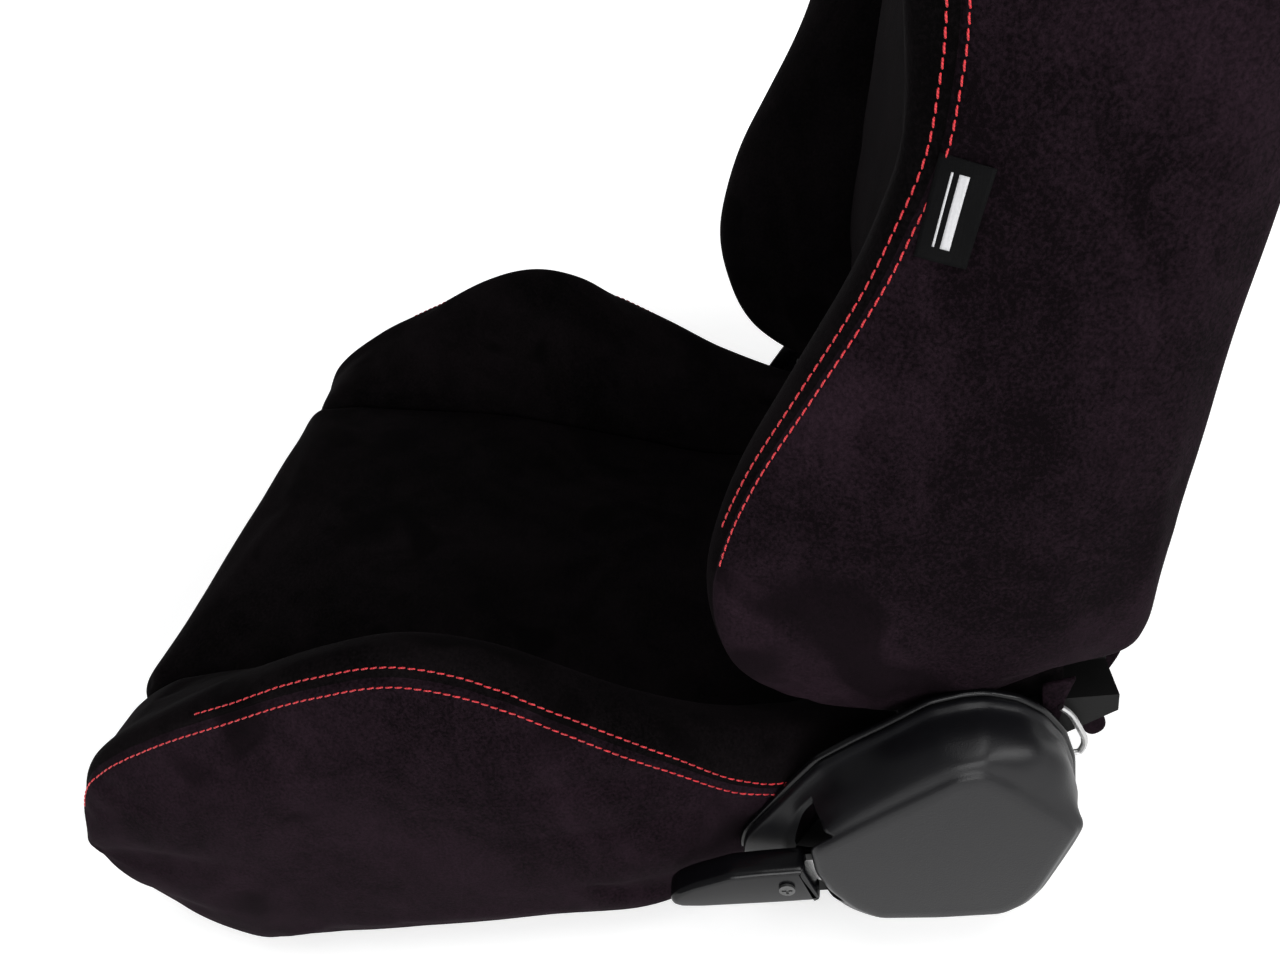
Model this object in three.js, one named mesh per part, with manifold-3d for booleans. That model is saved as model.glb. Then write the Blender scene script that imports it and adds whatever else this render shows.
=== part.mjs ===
// A reclining sports seat: cushion, backrest with side bolsters and harness slots, two side recliners
// joined by a release shaft, and the steel frame that carries them.
// Millimetres. +X is the sitter's left, -Y the front, +Z up. The origin is on the mounting plane,
// at the middle of the seat's bounding box.
import * as THREE from "three";
import { mergeVertices } from "three/addons/utils/BufferGeometryUtils.js";
import Module from "manifold-3d";

const wasm = await Module();
wasm.setup();

// ---------------------------------------------------------------- driving dimensions
const DESIGN_MIDDLE_Y = 57.25; // middle of the seat's length, in the drawing's own Y
const GAP = 0.4; // clearance between touching pieces

const PIVOT = { y: 212, z: 128 }; // backrest hinge
const SHAFT = { y: 160, z: 80, radius: 5, hub: 10 }; // release shaft
const PAWL_PIN = { y: 156, z: 111, radius: 3 };

const RAIL = { x: 173, width: 38, height: 22, front: -235, rear: 236, holeRadius: 4.25, holes: [-170, 160] };
const SIDE_FRAME = { x: 188, thickness: 3 };
const LOWER_PLATE = { x: 232, thickness: 4.5 };
const UPPER_ARM = { x: 226, thickness: 5, innerX: 199.6, hubRadius: 40, toothDepth: 2.5, toothPitchDeg: 6 };
const CROSS_TUBE = { radius: 10, z: 38, middleY: 122, rearY: 196 };
const FRONT_TUBE = { radius: 11, y: -215, z: 106 };
const BACK_TUBE = { radius: 11, x: 188, lowZ: 200, highZ: 905 };

const CUSHION = { padHalf: 172, bolsterInner: 176, bolsterLow: 196, nose: -324, rear: 190 };
const BACK = { padHalf: 166, bolsterInner: 168, notch: 214, padDepth: 58, bolsterTop: 764, panel: 6 };
const SLOT = { x: 96, z: 742, width: 76, height: 36, wall: 4, flange: 9, tiltDeg: 12, depth: 103, flangeDepth: 3 };
const HEAD_CROWN = 3; // how far the head pad's face stands forward of the back pad's edges

const COVER = { baseX: 239.6, rimX: 244, domeX: 256, faceX: 284, wall: 2.8, y: 205, z: 122 };
const LEVER = { armX: 267, armThickness: 4, gripX: 263, gripThickness: 19, bevel: 3.5, screwY: 115, screwZ: 97 };
const SPRING = { x: 239, width: 7, strip: 1.8, inner: 11.3, turns: 2.5, pitch: 5 };

// ---------------------------------------------------------------- materials
const finish = (color, roughness, metalness) =>
  new THREE.MeshStandardMaterial({ color, roughness, metalness });
const SUEDE = finish(0x1c1519, 0.95, 0);
const STEEL_BLACK = finish(0x17181a, 0.5, 0.6);
const STEEL_ZINC = finish(0xa9adb0, 0.35, 0.9);
const PLASTIC = finish(0x202124, 0.55, 0);
const LABEL = finish(0x101012, 0.8, 0);

// ---------------------------------------------------------------- small tools
const toward = { side: new THREE.Matrix4().makeBasis(v(0, 1, 0), v(0, 0, 1), v(1, 0, 0)) };

function v(x, y, z) {
  return new THREE.Vector3(x, y, z);
}

/** A smooth single-valued curve through [u, value] points, with level ends beyond the first and last. */
function curve(points) {
  const n = points.length;
  const slope = points.map((p, i) => {
    const a = points[Math.max(i - 1, 0)];
    const b = points[Math.min(i + 1, n - 1)];
    return (b[1] - a[1]) / (b[0] - a[0]);
  });
  return (u) => {
    if (u <= points[0][0]) return points[0][1];
    if (u >= points[n - 1][0]) return points[n - 1][1];
    const i = points.findIndex((p) => p[0] > u) - 1;
    const [u0, v0] = points[i];
    const [u1, v1] = points[i + 1];
    const h = u1 - u0;
    const t = (u - u0) / h;
    return (
      (2 * t ** 3 - 3 * t ** 2 + 1) * v0 +
      (t ** 3 - 2 * t ** 2 + t) * h * slope[i] +
      (3 * t ** 2 - 2 * t ** 3) * v1 +
      (t ** 3 - t ** 2) * h * slope[i + 1]
    );
  };
}

const clamp = THREE.MathUtils.clamp;
const degrees = THREE.MathUtils.degToRad;
const steps = (from, to, n) => Array.from({ length: n + 1 }, (_, i) => from + ((to - from) * i) / n);

/** A closed skin over rings of points; each ring lies in a plane whose normal is the given axis. */
function loft(rings, axis) {
  const n = rings[0].length;
  const flat = (p) => (axis === "x" ? new THREE.Vector2(p.y, p.z)
    : axis === "y" ? new THREE.Vector2(p.z, p.x) : new THREE.Vector2(p.x, p.y));
  const position = rings.flat().flatMap((p) => [p.x, p.y, p.z]);
  const index = [];
  rings.slice(1).forEach((_, r) => {
    for (let i = 0; i < n; i++) {
      const [a, b] = [r * n + i, r * n + ((i + 1) % n)];
      index.push(a, b, b + n, a, b + n, a + n);
    }
  });
  const last = (rings.length - 1) * n;
  THREE.ShapeUtils.triangulateShape(rings[0].map(flat), []).forEach(([a, b, c]) => index.push(a, c, b));
  THREE.ShapeUtils.triangulateShape(rings.at(-1).map(flat), [])
    .forEach(([a, b, c]) => index.push(last + a, last + b, last + c));
  const geometry = new THREE.BufferGeometry();
  geometry.setAttribute("position", new THREE.Float32BufferAttribute(position, 3));
  return geometry.setIndex(index);
}

function toSolid(geometry) {
  const bare = geometry.clone();
  bare.deleteAttribute("normal");
  bare.deleteAttribute("uv");
  const merged = mergeVertices(bare, 1e-4);
  return new wasm.Manifold(new wasm.Mesh({
    numProp: 3,
    vertProperties: merged.attributes.position.array,
    triVerts: new Uint32Array(merged.index.array),
  }));
}

function toGeometry(solid) {
  const mesh = solid.getMesh();
  const geometry = new THREE.BufferGeometry();
  geometry.setAttribute("position", new THREE.Float32BufferAttribute(mesh.vertProperties, 3));
  return geometry.setIndex([...mesh.triVerts]);
}

const cut = (geometry, ...tools) =>
  toGeometry(tools.reduce((solid, tool) => solid.subtract(toSolid(tool)), toSolid(geometry)));
const join = (geometry, ...others) =>
  toGeometry(others.reduce((solid, other) => solid.add(toSolid(other)), toSolid(geometry)));

/** An outline of [y, z] points extruded along +X from x, with round holes given as [y, z, radius]. */
function sidePlate(outline, x, thickness, holes = [], bevel = 0) {
  const shape = new THREE.Shape(outline.map(([y, z]) => new THREE.Vector2(y, z)));
  holes.forEach(([y, z, radius]) => {
    const hole = new THREE.Path();
    hole.absarc(y, z, radius, 0, Math.PI * 2, true);
    shape.holes.push(hole);
  });
  const geometry = new THREE.ExtrudeGeometry(shape, {
    depth: thickness - 2 * bevel, curveSegments: 10,
    bevelEnabled: bevel > 0, bevelSize: bevel, bevelOffset: -bevel, bevelThickness: bevel, bevelSegments: 2,
  });
  return geometry.applyMatrix4(toward.side).translate(x + bevel, 0, 0);
}

/** A cylinder along X that starts at x. */
const rodX = (radius, x, length, y, z, sides = 20) =>
  new THREE.CylinderGeometry(radius, radius, length, sides).rotateZ(-Math.PI / 2).translate(x + length / 2, y, z);

const block = (x0, x1, y0, y1, z0, z1) =>
  new THREE.BoxGeometry(x1 - x0, y1 - y0, z1 - z0).translate((x0 + x1) / 2, (y0 + y1) / 2, (z0 + z1) / 2);

/** A round bar of the given radius along a smooth path. */
function bar(points, radius, sides, count, tension = 0.5) {
  const path = new THREE.CatmullRomCurve3(points, false, "catmullrom", tension);
  const section = new THREE.Shape(steps(0, Math.PI * 2, sides).slice(0, -1)
    .map((a) => new THREE.Vector2(radius * Math.cos(a), radius * Math.sin(a))));
  return new THREE.ExtrudeGeometry(section, { steps: count, bevelEnabled: false, extrudePath: path });
}

/** Points of an outline as seen from a centre, one every 360/n degrees. */
function polarOutline(points, centre, n) {
  return steps(0, Math.PI * 2, n).slice(0, -1).map((angle) => {
    const [dy, dz] = [Math.cos(angle), Math.sin(angle)];
    let reach = 0;
    points.forEach(([y0, z0], i) => {
      const [y1, z1] = points[(i + 1) % points.length];
      const [ey, ez] = [y1 - y0, z1 - z0];
      const [py, pz] = [y0 - centre[0], z0 - centre[1]];
      const det = dz * ey - dy * ez;
      const along = (pz * ey - py * ez) / det;
      const share = (dy * pz - dz * py) / det;
      if (share >= -1e-9 && share <= 1 + 1e-9 && along > reach) reach = along;
    });
    return [centre[0] + reach * dy, centre[1] + reach * dz];
  });
}

const arc = (y, z, radius, fromDeg, toDeg, n) =>
  steps(fromDeg, toDeg, n).map((a) => [y + radius * Math.cos(degrees(a)), z + radius * Math.sin(degrees(a))]);

const seat = new THREE.Group();
seat.position.y = -DESIGN_MIDDLE_Y;

function add(name, geometry, material) {
  const mesh = new THREE.Mesh(geometry, material);
  mesh.name = name;
  seat.add(mesh);
  return mesh;
}

/** The same piece on both sides of the seat; the geometry is the left one's. */
function addPair(name, geometry, material) {
  add(name + "_left", geometry, material);
  add(name + "_right", geometry, material).scale.x = -1;
}

// ---------------------------------------------------------------- the seat's side profiles
const cushionTop = curve([[-324, 142], [-312, 172], [-290, 203], [-240, 230], [-180, 250], [-120, 268],
  [-75, 272], [-35, 258], [0, 232], [40, 202], [85, 172], [135, 150], [190, 140]]);
const cushionBottom = curve([[-324, 132], [-316, 98], [-290, 58], [-262, 31], [-244, 22], [35, 38], [190, 48]]);
const cushionPanel = curve([[-302, 172], [-296, 188], [-284, 199], [-262, 201], [-103, 164], [-17, 132],
  [77, 97], [115, 93], [150, 96], [190, 100]]);
const cushionOuter = curve([[-324, 250], [-312, 256], [-280, 260], [-200, 263], [0, 262], [40, 257],
  [88, 234], [115, 224], [190, 222]]);
const padUnderside = (y) => cushionPanel(y) - THREE.MathUtils.mapLinear(y, CUSHION.nose, CUSHION.rear, 56, 36);
const sideFrameTop = (y) => padUnderside(y) - 6;

const backFront = curve([[190, 222], [240, 208], [300, 206], [380, 222], [480, 246], [580, 272], [680, 298],
  [760, 316], [830, 322], [900, 330], [935, 352]]);
const backRear = curve([[170, 196], [175, 222], [182, 244], [190, 264], [200, 288], [207, 303], [216, 311],
  [272, 319], [329, 326], [400, 337], [500, 357], [600, 380], [700, 402], [800, 422], [880, 434], [935, 426]]);
const bolsterFront = curve([[170, 184], [174, 157], [188, 130], [214, 108], [247, 98], [282, 97], [314, 106],
  [353, 125], [392, 152], [427, 177], [451, 191], [484, 205], [515, 209], [560, 210], [620, 216],
  [680, 232], [730, 258], [764, 288]]);
const backHalfWidth = curve([[170, 222], [178, 230], [190, 235], [203, 238], [215, 242], [235, 248], [270, 252],
  [330, 254], [420, 252],
  [500, 247], [560, 247], [640, 256], [700, 258], [764, 240], [790, 208], [815, 172], [850, 154],
  [905, 142], [935, 112]]);
const frameY = (z) => (backFront(z) + BACK.padDepth + backRear(z) - BACK.panel) / 2;

// ---------------------------------------------------------------- base frame
function mountingRail() {
  const half = RAIL.width / 2;
  const beam = block(RAIL.x - half, RAIL.x + half, RAIL.front, RAIL.rear, 0, RAIL.height);
  const drill = new THREE.CylinderGeometry(RAIL.holeRadius, RAIL.holeRadius, RAIL.height + 10, 12).rotateX(Math.PI / 2);
  return cut(beam, ...RAIL.holes.map((y) => drill.clone().translate(RAIL.x, y, RAIL.height / 2)));
}

function sideFrame() {
  const foot = RAIL.height + GAP;
  const [front, rear, tail] = [RAIL.front + 4, RAIL.rear - 4, CROSS_TUBE.z + 17];
  const top = steps(front, 90, 6).map((y) => [y, sideFrameTop(y)]).reverse();
  const outline = [[front, foot], [rear, foot], [rear, tail], [104, tail], ...top];
  const holes = [CROSS_TUBE.middleY, CROSS_TUBE.rearY].map((y) => [y, CROSS_TUBE.z, CROSS_TUBE.radius + GAP]);
  return sidePlate(outline, SIDE_FRAME.x, SIDE_FRAME.thickness, holes);
}

/** A serpentine wire between two places, swinging from side to side about a line in the YZ plane or along X. */
function zigzag(at, swing, length, waves, radius = 1.8) {
  const points = steps(0, waves * 4, waves * 4).map((i) =>
    at((i / (waves * 4)) * length, swing * Math.sin((i * Math.PI) / 2)));
  return bar(points, radius, 5, waves * 5);
}

function buildBase() {
  addPair("mounting_rail", mountingRail(), STEEL_BLACK);
  addPair("cushion_side_frame", sideFrame(), STEEL_BLACK);
  const inside = SIDE_FRAME.x - GAP;
  add("front_cross_tube", rodX(FRONT_TUBE.radius, -inside, 2 * inside, FRONT_TUBE.y, FRONT_TUBE.z), STEEL_BLACK);
  const across = LOWER_PLATE.x - GAP;
  add("middle_cross_tube", rodX(CROSS_TUBE.radius, -across, 2 * across, CROSS_TUBE.middleY, CROSS_TUBE.z), STEEL_BLACK);
  add("rear_cross_tube", rodX(CROSS_TUBE.radius, -across, 2 * across, CROSS_TUBE.rearY, CROSS_TUBE.z), STEEL_BLACK);

  const start = FRONT_TUBE.y + FRONT_TUBE.radius + 3;
  const end = CROSS_TUBE.middleY - CROSS_TUBE.radius - 4;
  const spring = zigzag((along, side) => {
    const y = start + along;
    return v(side, y, padUnderside(y) - 8);
  }, 26, end - start, 5);
  [-110, -37, 37, 110].forEach((x, i) => {
    add(`cushion_spring_${i + 1}`, spring, STEEL_ZINC).position.x = x;
  });
}

// ---------------------------------------------------------------- cushion
function cushionBolster() {
  const ring = (y) => {
    const [top, bottom, outer] = [cushionTop(y), cushionBottom(y), cushionOuter(y)];
    const height = top - bottom;
    const groove = clamp(cushionPanel(y), bottom + 0.45 * height, top - 0.12 * height);
    const shelf = clamp(sideFrameTop(y) + 5, bottom + 0.15 * height, groove - 0.1 * height);
    const at = (x, z) => v(x, y, z);
    return [
      at(CUSHION.bolsterLow, bottom), at(CUSHION.bolsterLow, shelf), at(CUSHION.bolsterInner, shelf),
      at(CUSHION.bolsterInner, groove), at(CUSHION.bolsterInner + 14, groove + 0.5 * (top - groove)),
      at(outer - 44, top - 0.04 * height), at(outer - 30, top), at(outer - 16, top - 0.02 * height),
      at(outer - 5, top - 0.12 * height), at(outer, bottom + 0.5 * height),
      at(outer - 2, bottom + 0.15 * height), at(outer - 9, bottom),
    ];
  };
  const places = [-324, -318, -304, -284, -250, -210, -165, -120, -75, -35, 0, 40, 85, 112, 150, 190];
  const channel = ({ y, z, radius }) => block(150, 240, y - radius - 3, y + radius + 3, 0, z + radius + 3);
  const tube = { y: CROSS_TUBE.middleY, z: CROSS_TUBE.z, radius: CROSS_TUBE.radius };
  const rearTube = { ...tube, y: CROSS_TUBE.rearY };
  return cut(loft(places.map(ring), "y"), channel(SHAFT), channel(tube), channel(rearTube));
}

function cushionPad() {
  const half = CUSHION.padHalf;
  const ring = (y, underside) => {
    const top = cushionPanel(y);
    return [[-half, underside], [-half, top], [-0.55 * half, top + 3], [0, top + 4], [0.55 * half, top + 3],
      [half, top], [half, underside]].map(([x, z]) => v(x, y, z));
  };
  const lip = curve([[-302, 120], [-290, 70], [-268, 40], [-240, 34]]);
  const front = [-302, -297, -290, -280, -262, -241].map((y) => ring(y, lip(y)));
  const rest = [-240, -200, -103, -17, 40, 77, 130, 190].map((y) => ring(y, padUnderside(y)));
  const shaftChannel = block(-180, 180, SHAFT.y - 8, SHAFT.y + 8, 0, SHAFT.z + 6);
  return cut(loft([...front, ...rest], "y"), shaftChannel);
}

// ---------------------------------------------------------------- recliner
function lowerPlate() {
  const outline = [[106, 24.4], [214, 24.4], [232, 60], ...arc(PIVOT.y, PIVOT.z, 38, -30, 160, 14),
    [150, 146], [138, 100], [106, 52]];
  const holes = [[PIVOT.y, PIVOT.z, 6.3], [SHAFT.y, SHAFT.z, SHAFT.radius + GAP],
    [PAWL_PIN.y, PAWL_PIN.z, PAWL_PIN.radius + GAP], [CROSS_TUBE.middleY, CROSS_TUBE.z, 4.3],
    [CROSS_TUBE.rearY, CROSS_TUBE.z, 4.3]];
  const springEnd = PIVOT.y - SPRING.inner - SPRING.turns * SPRING.pitch - SPRING.strip / 2 - GAP;
  const springTab = block(LOWER_PLATE.x + 1, SPRING.x + SPRING.width, springEnd - 5, springEnd, 121, 135);
  return join(sidePlate(outline, LOWER_PLATE.x, LOWER_PLATE.thickness, holes), springTab);
}

/** The backrest's stamped arm: a toothed hub at the pivot, a neck, a joggle inwards, and a flat strip up the tube. */
function upperArm() {
  const { x, thickness, innerX, hubRadius, toothDepth, toothPitchDeg } = UPPER_ARM;
  const teeth = [];
  for (let a = 130; a < 250; a += toothPitchDeg) {
    teeth.push(...arc(PIVOT.y, PIVOT.z, hubRadius, a, a + toothPitchDeg * 0.35, 1));
    teeth.push(...arc(PIVOT.y, PIVOT.z, hubRadius - toothDepth, a + toothPitchDeg * 0.5, a + toothPitchDeg * 0.85, 1));
  }
  const hub = [...teeth, ...arc(PIVOT.y, PIVOT.z, hubRadius, 250, 372, 8), [302, 166], [302, 178], [270, 178],
    ...arc(PIVOT.y, PIVOT.z, hubRadius, 82, 125, 3)];
  const outer = sidePlate(hub, x, thickness, [[PIVOT.y, PIVOT.z, 6.3]]);
  const joggle = block(innerX, x + thickness, 276, 302, 166.4, 178);
  const strip = sidePlate([[276, 166.4], [302, 166.4], [304, 300], [282, 300]], innerX, thickness);
  return join(outer, joggle, strip);
}

/** A toothed pawl that swings on its own stub pin; its tail hangs down for the cam to push. */
function pawl() {
  const { y, z, radius } = PAWL_PIN;
  const toothed = arc(PIVOT.y, PIVOT.z, UPPER_ARM.hubRadius + 1.6, 186, 156, 7);
  const outline = [[153.5, 94], [159.5, 94], [163, 108], ...toothed, [166, 150], [y - 7, z + 8], [y - 7, z - 4]];
  const stub = rodX(radius, UPPER_ARM.x + 1, LOWER_PLATE.x + LOWER_PLATE.thickness - UPPER_ARM.x - 1, y, z, 12);
  return join(sidePlate(outline, UPPER_ARM.x, UPPER_ARM.thickness), stub);
}

function releaseCam() {
  const outline = [...arc(SHAFT.y, SHAFT.z, SHAFT.hub, 160, 490, 13), [151.2, 95.5], [145.6, 95.5]];
  return sidePlate(outline, UPPER_ARM.x, UPPER_ARM.thickness, [[SHAFT.y, SHAFT.z, SHAFT.radius + 0.3]]);
}

/** A flat spiral spring round the pivot, with its free end hooked outwards. */
function returnSpring() {
  const count = Math.round(SPRING.turns * 14);
  const centre = steps(0, SPRING.turns * 360, count).map((a) => {
    const radius = SPRING.inner + (SPRING.pitch * a) / 360;
    return [radius * Math.cos(degrees(a)), radius * Math.sin(degrees(a)), radius];
  });
  const side = (offset) => centre.map(([y, z, radius]) =>
    [PIVOT.y + y * (1 + offset / radius), PIVOT.z + z * (1 + offset / radius)]);
  const outline = [...side(SPRING.strip / 2), ...side(-SPRING.strip / 2).reverse()];
  return sidePlate(outline, SPRING.x, SPRING.width);
}

const hexHead = (radius, x, height, y, z) => rodX(radius, x, height, y, z, 6);
const boltX = (shank, x, length, head, headHeight, y, z) =>
  join(rodX(shank, x, length, y, z, 12), hexHead(head, x + length - 0.01, headHeight, y, z));

const rimOutline = [[88, 84], [92, 98], [127, 141], [141, 157], [163, 171], [182, 182], [202, 195], [220, 199],
  [232, 199], [248, 193], [261, 182], [271, 165], [276, 145], [277, 118], [254, 74], [243, 60], [232, 55],
  [164, 55], [112, 68]];
const domeOutline = [[126, 92], [123, 108], [128, 132], [152, 158], [180, 179], [205, 193], [228, 197], [252, 188],
  [268, 170], [274, 146], [274, 124], [252, 76], [242, 62], [228, 57], [166, 57], [148, 64], [134, 78]];
const faceOutline = [[140, 92], [134, 109], [133, 131], [178, 161], [211, 182], [223, 184], [238, 172], [263, 145],
  [270, 136], [251, 85], [243, 72], [232, 64], [197, 63], [163, 65], [151, 75]];

/** One ring of a cover's skin, at x, with the outline drawn in by the inset. */
function outlineRing(points, x, inset, n = 30) {
  return polarOutline(points, [COVER.y, COVER.z], n).map(([y, z]) => {
    const [dy, dz] = [y - COVER.y, z - COVER.z];
    const share = 1 - inset / Math.hypot(dy, dz);
    return v(x, COVER.y + dy * share, COVER.z + dz * share);
  });
}

/** The inner cover: a thin tray against the seat's side, open in the middle for the mechanism. */
function innerCover() {
  const plate = (inset, x0, x1) => loft([outlineRing(rimOutline, x0, inset), outlineRing(rimOutline, x1, inset)], "x");
  const shaftHole = rodX(SHAFT.radius + 2, COVER.baseX - 2, 10, SHAFT.y, SHAFT.z, 12);
  return cut(plate(-2, COVER.baseX, COVER.rimX - GAP), plate(16, COVER.baseX - 2, COVER.rimX + 2), shaftHole);
}

/** The domed outer cover, hollow, with a slot at its front where the release lever comes out. */
function outerCover() {
  const skin = (wall) => loft([
    outlineRing(rimOutline, COVER.rimX - (wall ? 2 : 0), wall),
    outlineRing(rimOutline, COVER.domeX - 4 - wall, 1.5 + wall),
    outlineRing(domeOutline, COVER.domeX - wall, -0.5 + wall),
    outlineRing(domeOutline, COVER.domeX + 12 - wall, 1.5 + wall),
    outlineRing(faceOutline, COVER.faceX - 3 - wall, -3 + wall),
    outlineRing(faceOutline, COVER.faceX - wall, 1 + wall),
  ], "x");
  const leverSlot = block(COVER.domeX + 2, COVER.faceX - COVER.wall, 100, 146, 62, 128);
  return cut(skin(0), skin(COVER.wall), leverSlot);
}

function buildRecliners() {
  addPair("recliner_lower_plate", lowerPlate(), STEEL_BLACK);
  addPair("recliner_inner_cover", innerCover(), PLASTIC);
  addPair("recliner_cover", outerCover(), PLASTIC);
  const boltStart = UPPER_ARM.x - 8;
  addPair("pivot_bolt", boltX(6, boltStart, LOWER_PLATE.x + LOWER_PLATE.thickness + 5 - boltStart, 10, 6,
    PIVOT.y, PIVOT.z), STEEL_ZINC);
  addPair("return_spring", returnSpring(), STEEL_ZINC);
  const plateBolt = boltX(4, LOWER_PLATE.x + GAP, LOWER_PLATE.thickness, 6.5, 5, 0, 0);
  [["front", CROSS_TUBE.middleY], ["rear", CROSS_TUBE.rearY]].forEach(([place, y]) => {
    [["left", 1], ["right", -1]].forEach(([side, scale]) => {
      const bolt = add(`plate_bolt_${place}_${side}`, plateBolt, STEEL_ZINC);
      bolt.position.set(0, y, CROSS_TUBE.z);
      bolt.scale.x = scale;
    });
  });
  addPair("pawl", pawl(), STEEL_ZINC);
  addPair("recliner_arm", upperArm(), STEEL_BLACK);
}

// ---------------------------------------------------------------- release lever and shaft
function leverArm() {
  const outline = [...arc(SHAFT.y, SHAFT.z, SHAFT.hub, -100, 80, 7), [134, 106], [84, 104], [84, 93], [124, 93],
    [149, 76]];
  return sidePlate(outline, LEVER.armX, LEVER.armThickness, [[SHAFT.y, SHAFT.z, SHAFT.radius + 0.3]]);
}

function leverGrip() {
  const outline = [[133, 88], [124, 114], [102, 113], [67, 109], [55, 105], [47, 98], [45, 91], [48, 85.5],
    [60, 84.5], [108, 87]];
  const grip = sidePlate(outline, LEVER.gripX, LEVER.gripThickness, [], LEVER.bevel);
  const [slotStart, slotEnd] = [LEVER.armX - GAP, LEVER.armX + LEVER.armThickness + GAP];
  const armSlot = block(slotStart, slotEnd, 83, 140, 91, 107.5);
  const rootSlot = block(slotStart, slotEnd, 119, 140, 80, 92);
  const screwHole = rodX(2.6, LEVER.armX + LEVER.armThickness, 30, LEVER.screwY, LEVER.screwZ, 12);
  return cut(grip, armSlot, rootSlot, screwHole);
}

function leverScrew() {
  const { screwY: y, screwZ: z } = LEVER;
  const face = LEVER.gripX + LEVER.gripThickness + GAP;
  const start = LEVER.armX + LEVER.armThickness + GAP;
  const body = join(rodX(2.2, start, face - start + 0.1, y, z, 12), rodX(4.6, face, 1.6, y, z, 20));
  const cross = [block(face + 0.8, face + 3, y - 3, y + 3, z - 0.7, z + 0.7),
    block(face + 0.8, face + 3, y - 0.7, y + 0.7, z - 3, z + 3)];
  return cut(body, ...cross);
}

function buildRelease() {
  const { y, z, radius } = SHAFT;
  add("release_shaft", rodX(radius, -246, 246 + LEVER.armX + LEVER.armThickness + 4, y, z), STEEL_ZINC);
  addPair("release_cam", releaseCam(), STEEL_ZINC);
  add("lever_arm", leverArm(), STEEL_BLACK);
  add("lever_grip", leverGrip(), PLASTIC);
  add("lever_screw", leverScrew(), STEEL_ZINC);
}

// ---------------------------------------------------------------- backrest
function backTube() {
  const high = [[BACK_TUBE.x, BACK_TUBE.lowZ], [BACK_TUBE.x, 420], [BACK_TUBE.x, 640], [181, 730], [150, 782], [114, 826],
    [106, 868], [88, 897], [50, BACK_TUBE.highZ]];
  const left = high.map(([x, z]) => v(x, frameY(Math.max(z, 236)), z));
  const right = left.map((p) => v(-p.x, p.y, p.z)).reverse();
  return bar([...left, ...right], BACK_TUBE.radius, 8, 40);
}

function backCrossTube(z, name) {
  const reach = BACK_TUBE.x - BACK_TUBE.radius - 1;
  add(name, rodX(9, -reach, 2 * reach, frameY(z), z, 16), STEEL_BLACK);
}

function backBolster() {
  const ring = (z) => {
    const [front, rear, outer] = [bolsterFront(z), backRear(z), backHalfWidth(z)];
    const depth = rear - front;
    const base = clamp(backFront(z), front + 0.25 * depth, front + 0.8 * depth);
    const behind = clamp(backFront(z) + BACK.padDepth, base + 0.1 * depth, rear - 0.02 * depth);
    const notch = Math.min(BACK.notch, outer - 18);
    const inner = Math.min(BACK.bolsterInner, notch - 20);
    return [
      v(inner, behind, z), v(inner, base, z), v(inner + 20, base - 0.6 * (base - front), z),
      v(outer - 42, front + 0.03 * depth, z), v(outer - 26, front, z), v(outer - 9, front + 0.05 * depth, z),
      v(outer - 1, front + 0.17 * depth, z), v(outer, front + 0.5 * depth, z),
      v(outer - 4, rear - 0.12 * depth, z), v(outer - 15, rear, z), v(notch, rear, z), v(notch, behind, z),
    ];
  };
  const places = [170, 175, 186, 200, 218, 245, 282, 330, 392, 450, 515, 580, 640, 700, 764];
  return loft(places.map(ring), "z");
}

function backPad() {
  const half = BACK.padHalf;
  const ring = (z) => {
    const front = backFront(z);
    return [[-half, front + BACK.padDepth], [-half, front], [-0.5 * half, front - 5], [0, front - 6],
      [0.5 * half, front - 5], [half, front], [half, front + BACK.padDepth]].map(([x, y]) => v(x, y, z));
  };
  return loft([190, 240, 300, 380, 480, 580, 701].map(ring), "z");
}

/** The tool that opens one harness slot: a prism with round ends, square to the pad's leaning face there. */
function slotTool(grow, near, far) {
  const [half, high] = [SLOT.width / 2 + grow, SLOT.height / 2 + grow];
  const shape = new THREE.Shape();
  shape.absarc(half - high, 0, high, -Math.PI / 2, Math.PI / 2, false);
  shape.absarc(high - half, 0, high, Math.PI / 2, Math.PI * 1.5, false);
  return new THREE.ExtrudeGeometry(shape, { depth: far - near, bevelEnabled: false, curveSegments: 4 })
    .rotateX(Math.PI / 2).translate(0, far, 0).rotateX(-degrees(SLOT.tiltDeg))
    .translate(SLOT.x, backFront(SLOT.z) - HEAD_CROWN, SLOT.z);
}

const mirrored = (geometry) => {
  const copy = geometry.clone().scale(-1, 1, 1);
  const index = copy.index ? copy.index.array : Uint32Array.from({ length: copy.attributes.position.count }, (_, i) => i);
  for (let i = 0; i < index.length; i += 3) [index[i + 1], index[i + 2]] = [index[i + 2], index[i + 1]];
  return copy.setIndex([...index]);
};
const bothSlots = (grow, near, far) => [slotTool(grow, near, far), mirrored(slotTool(grow, near, far))];

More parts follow.
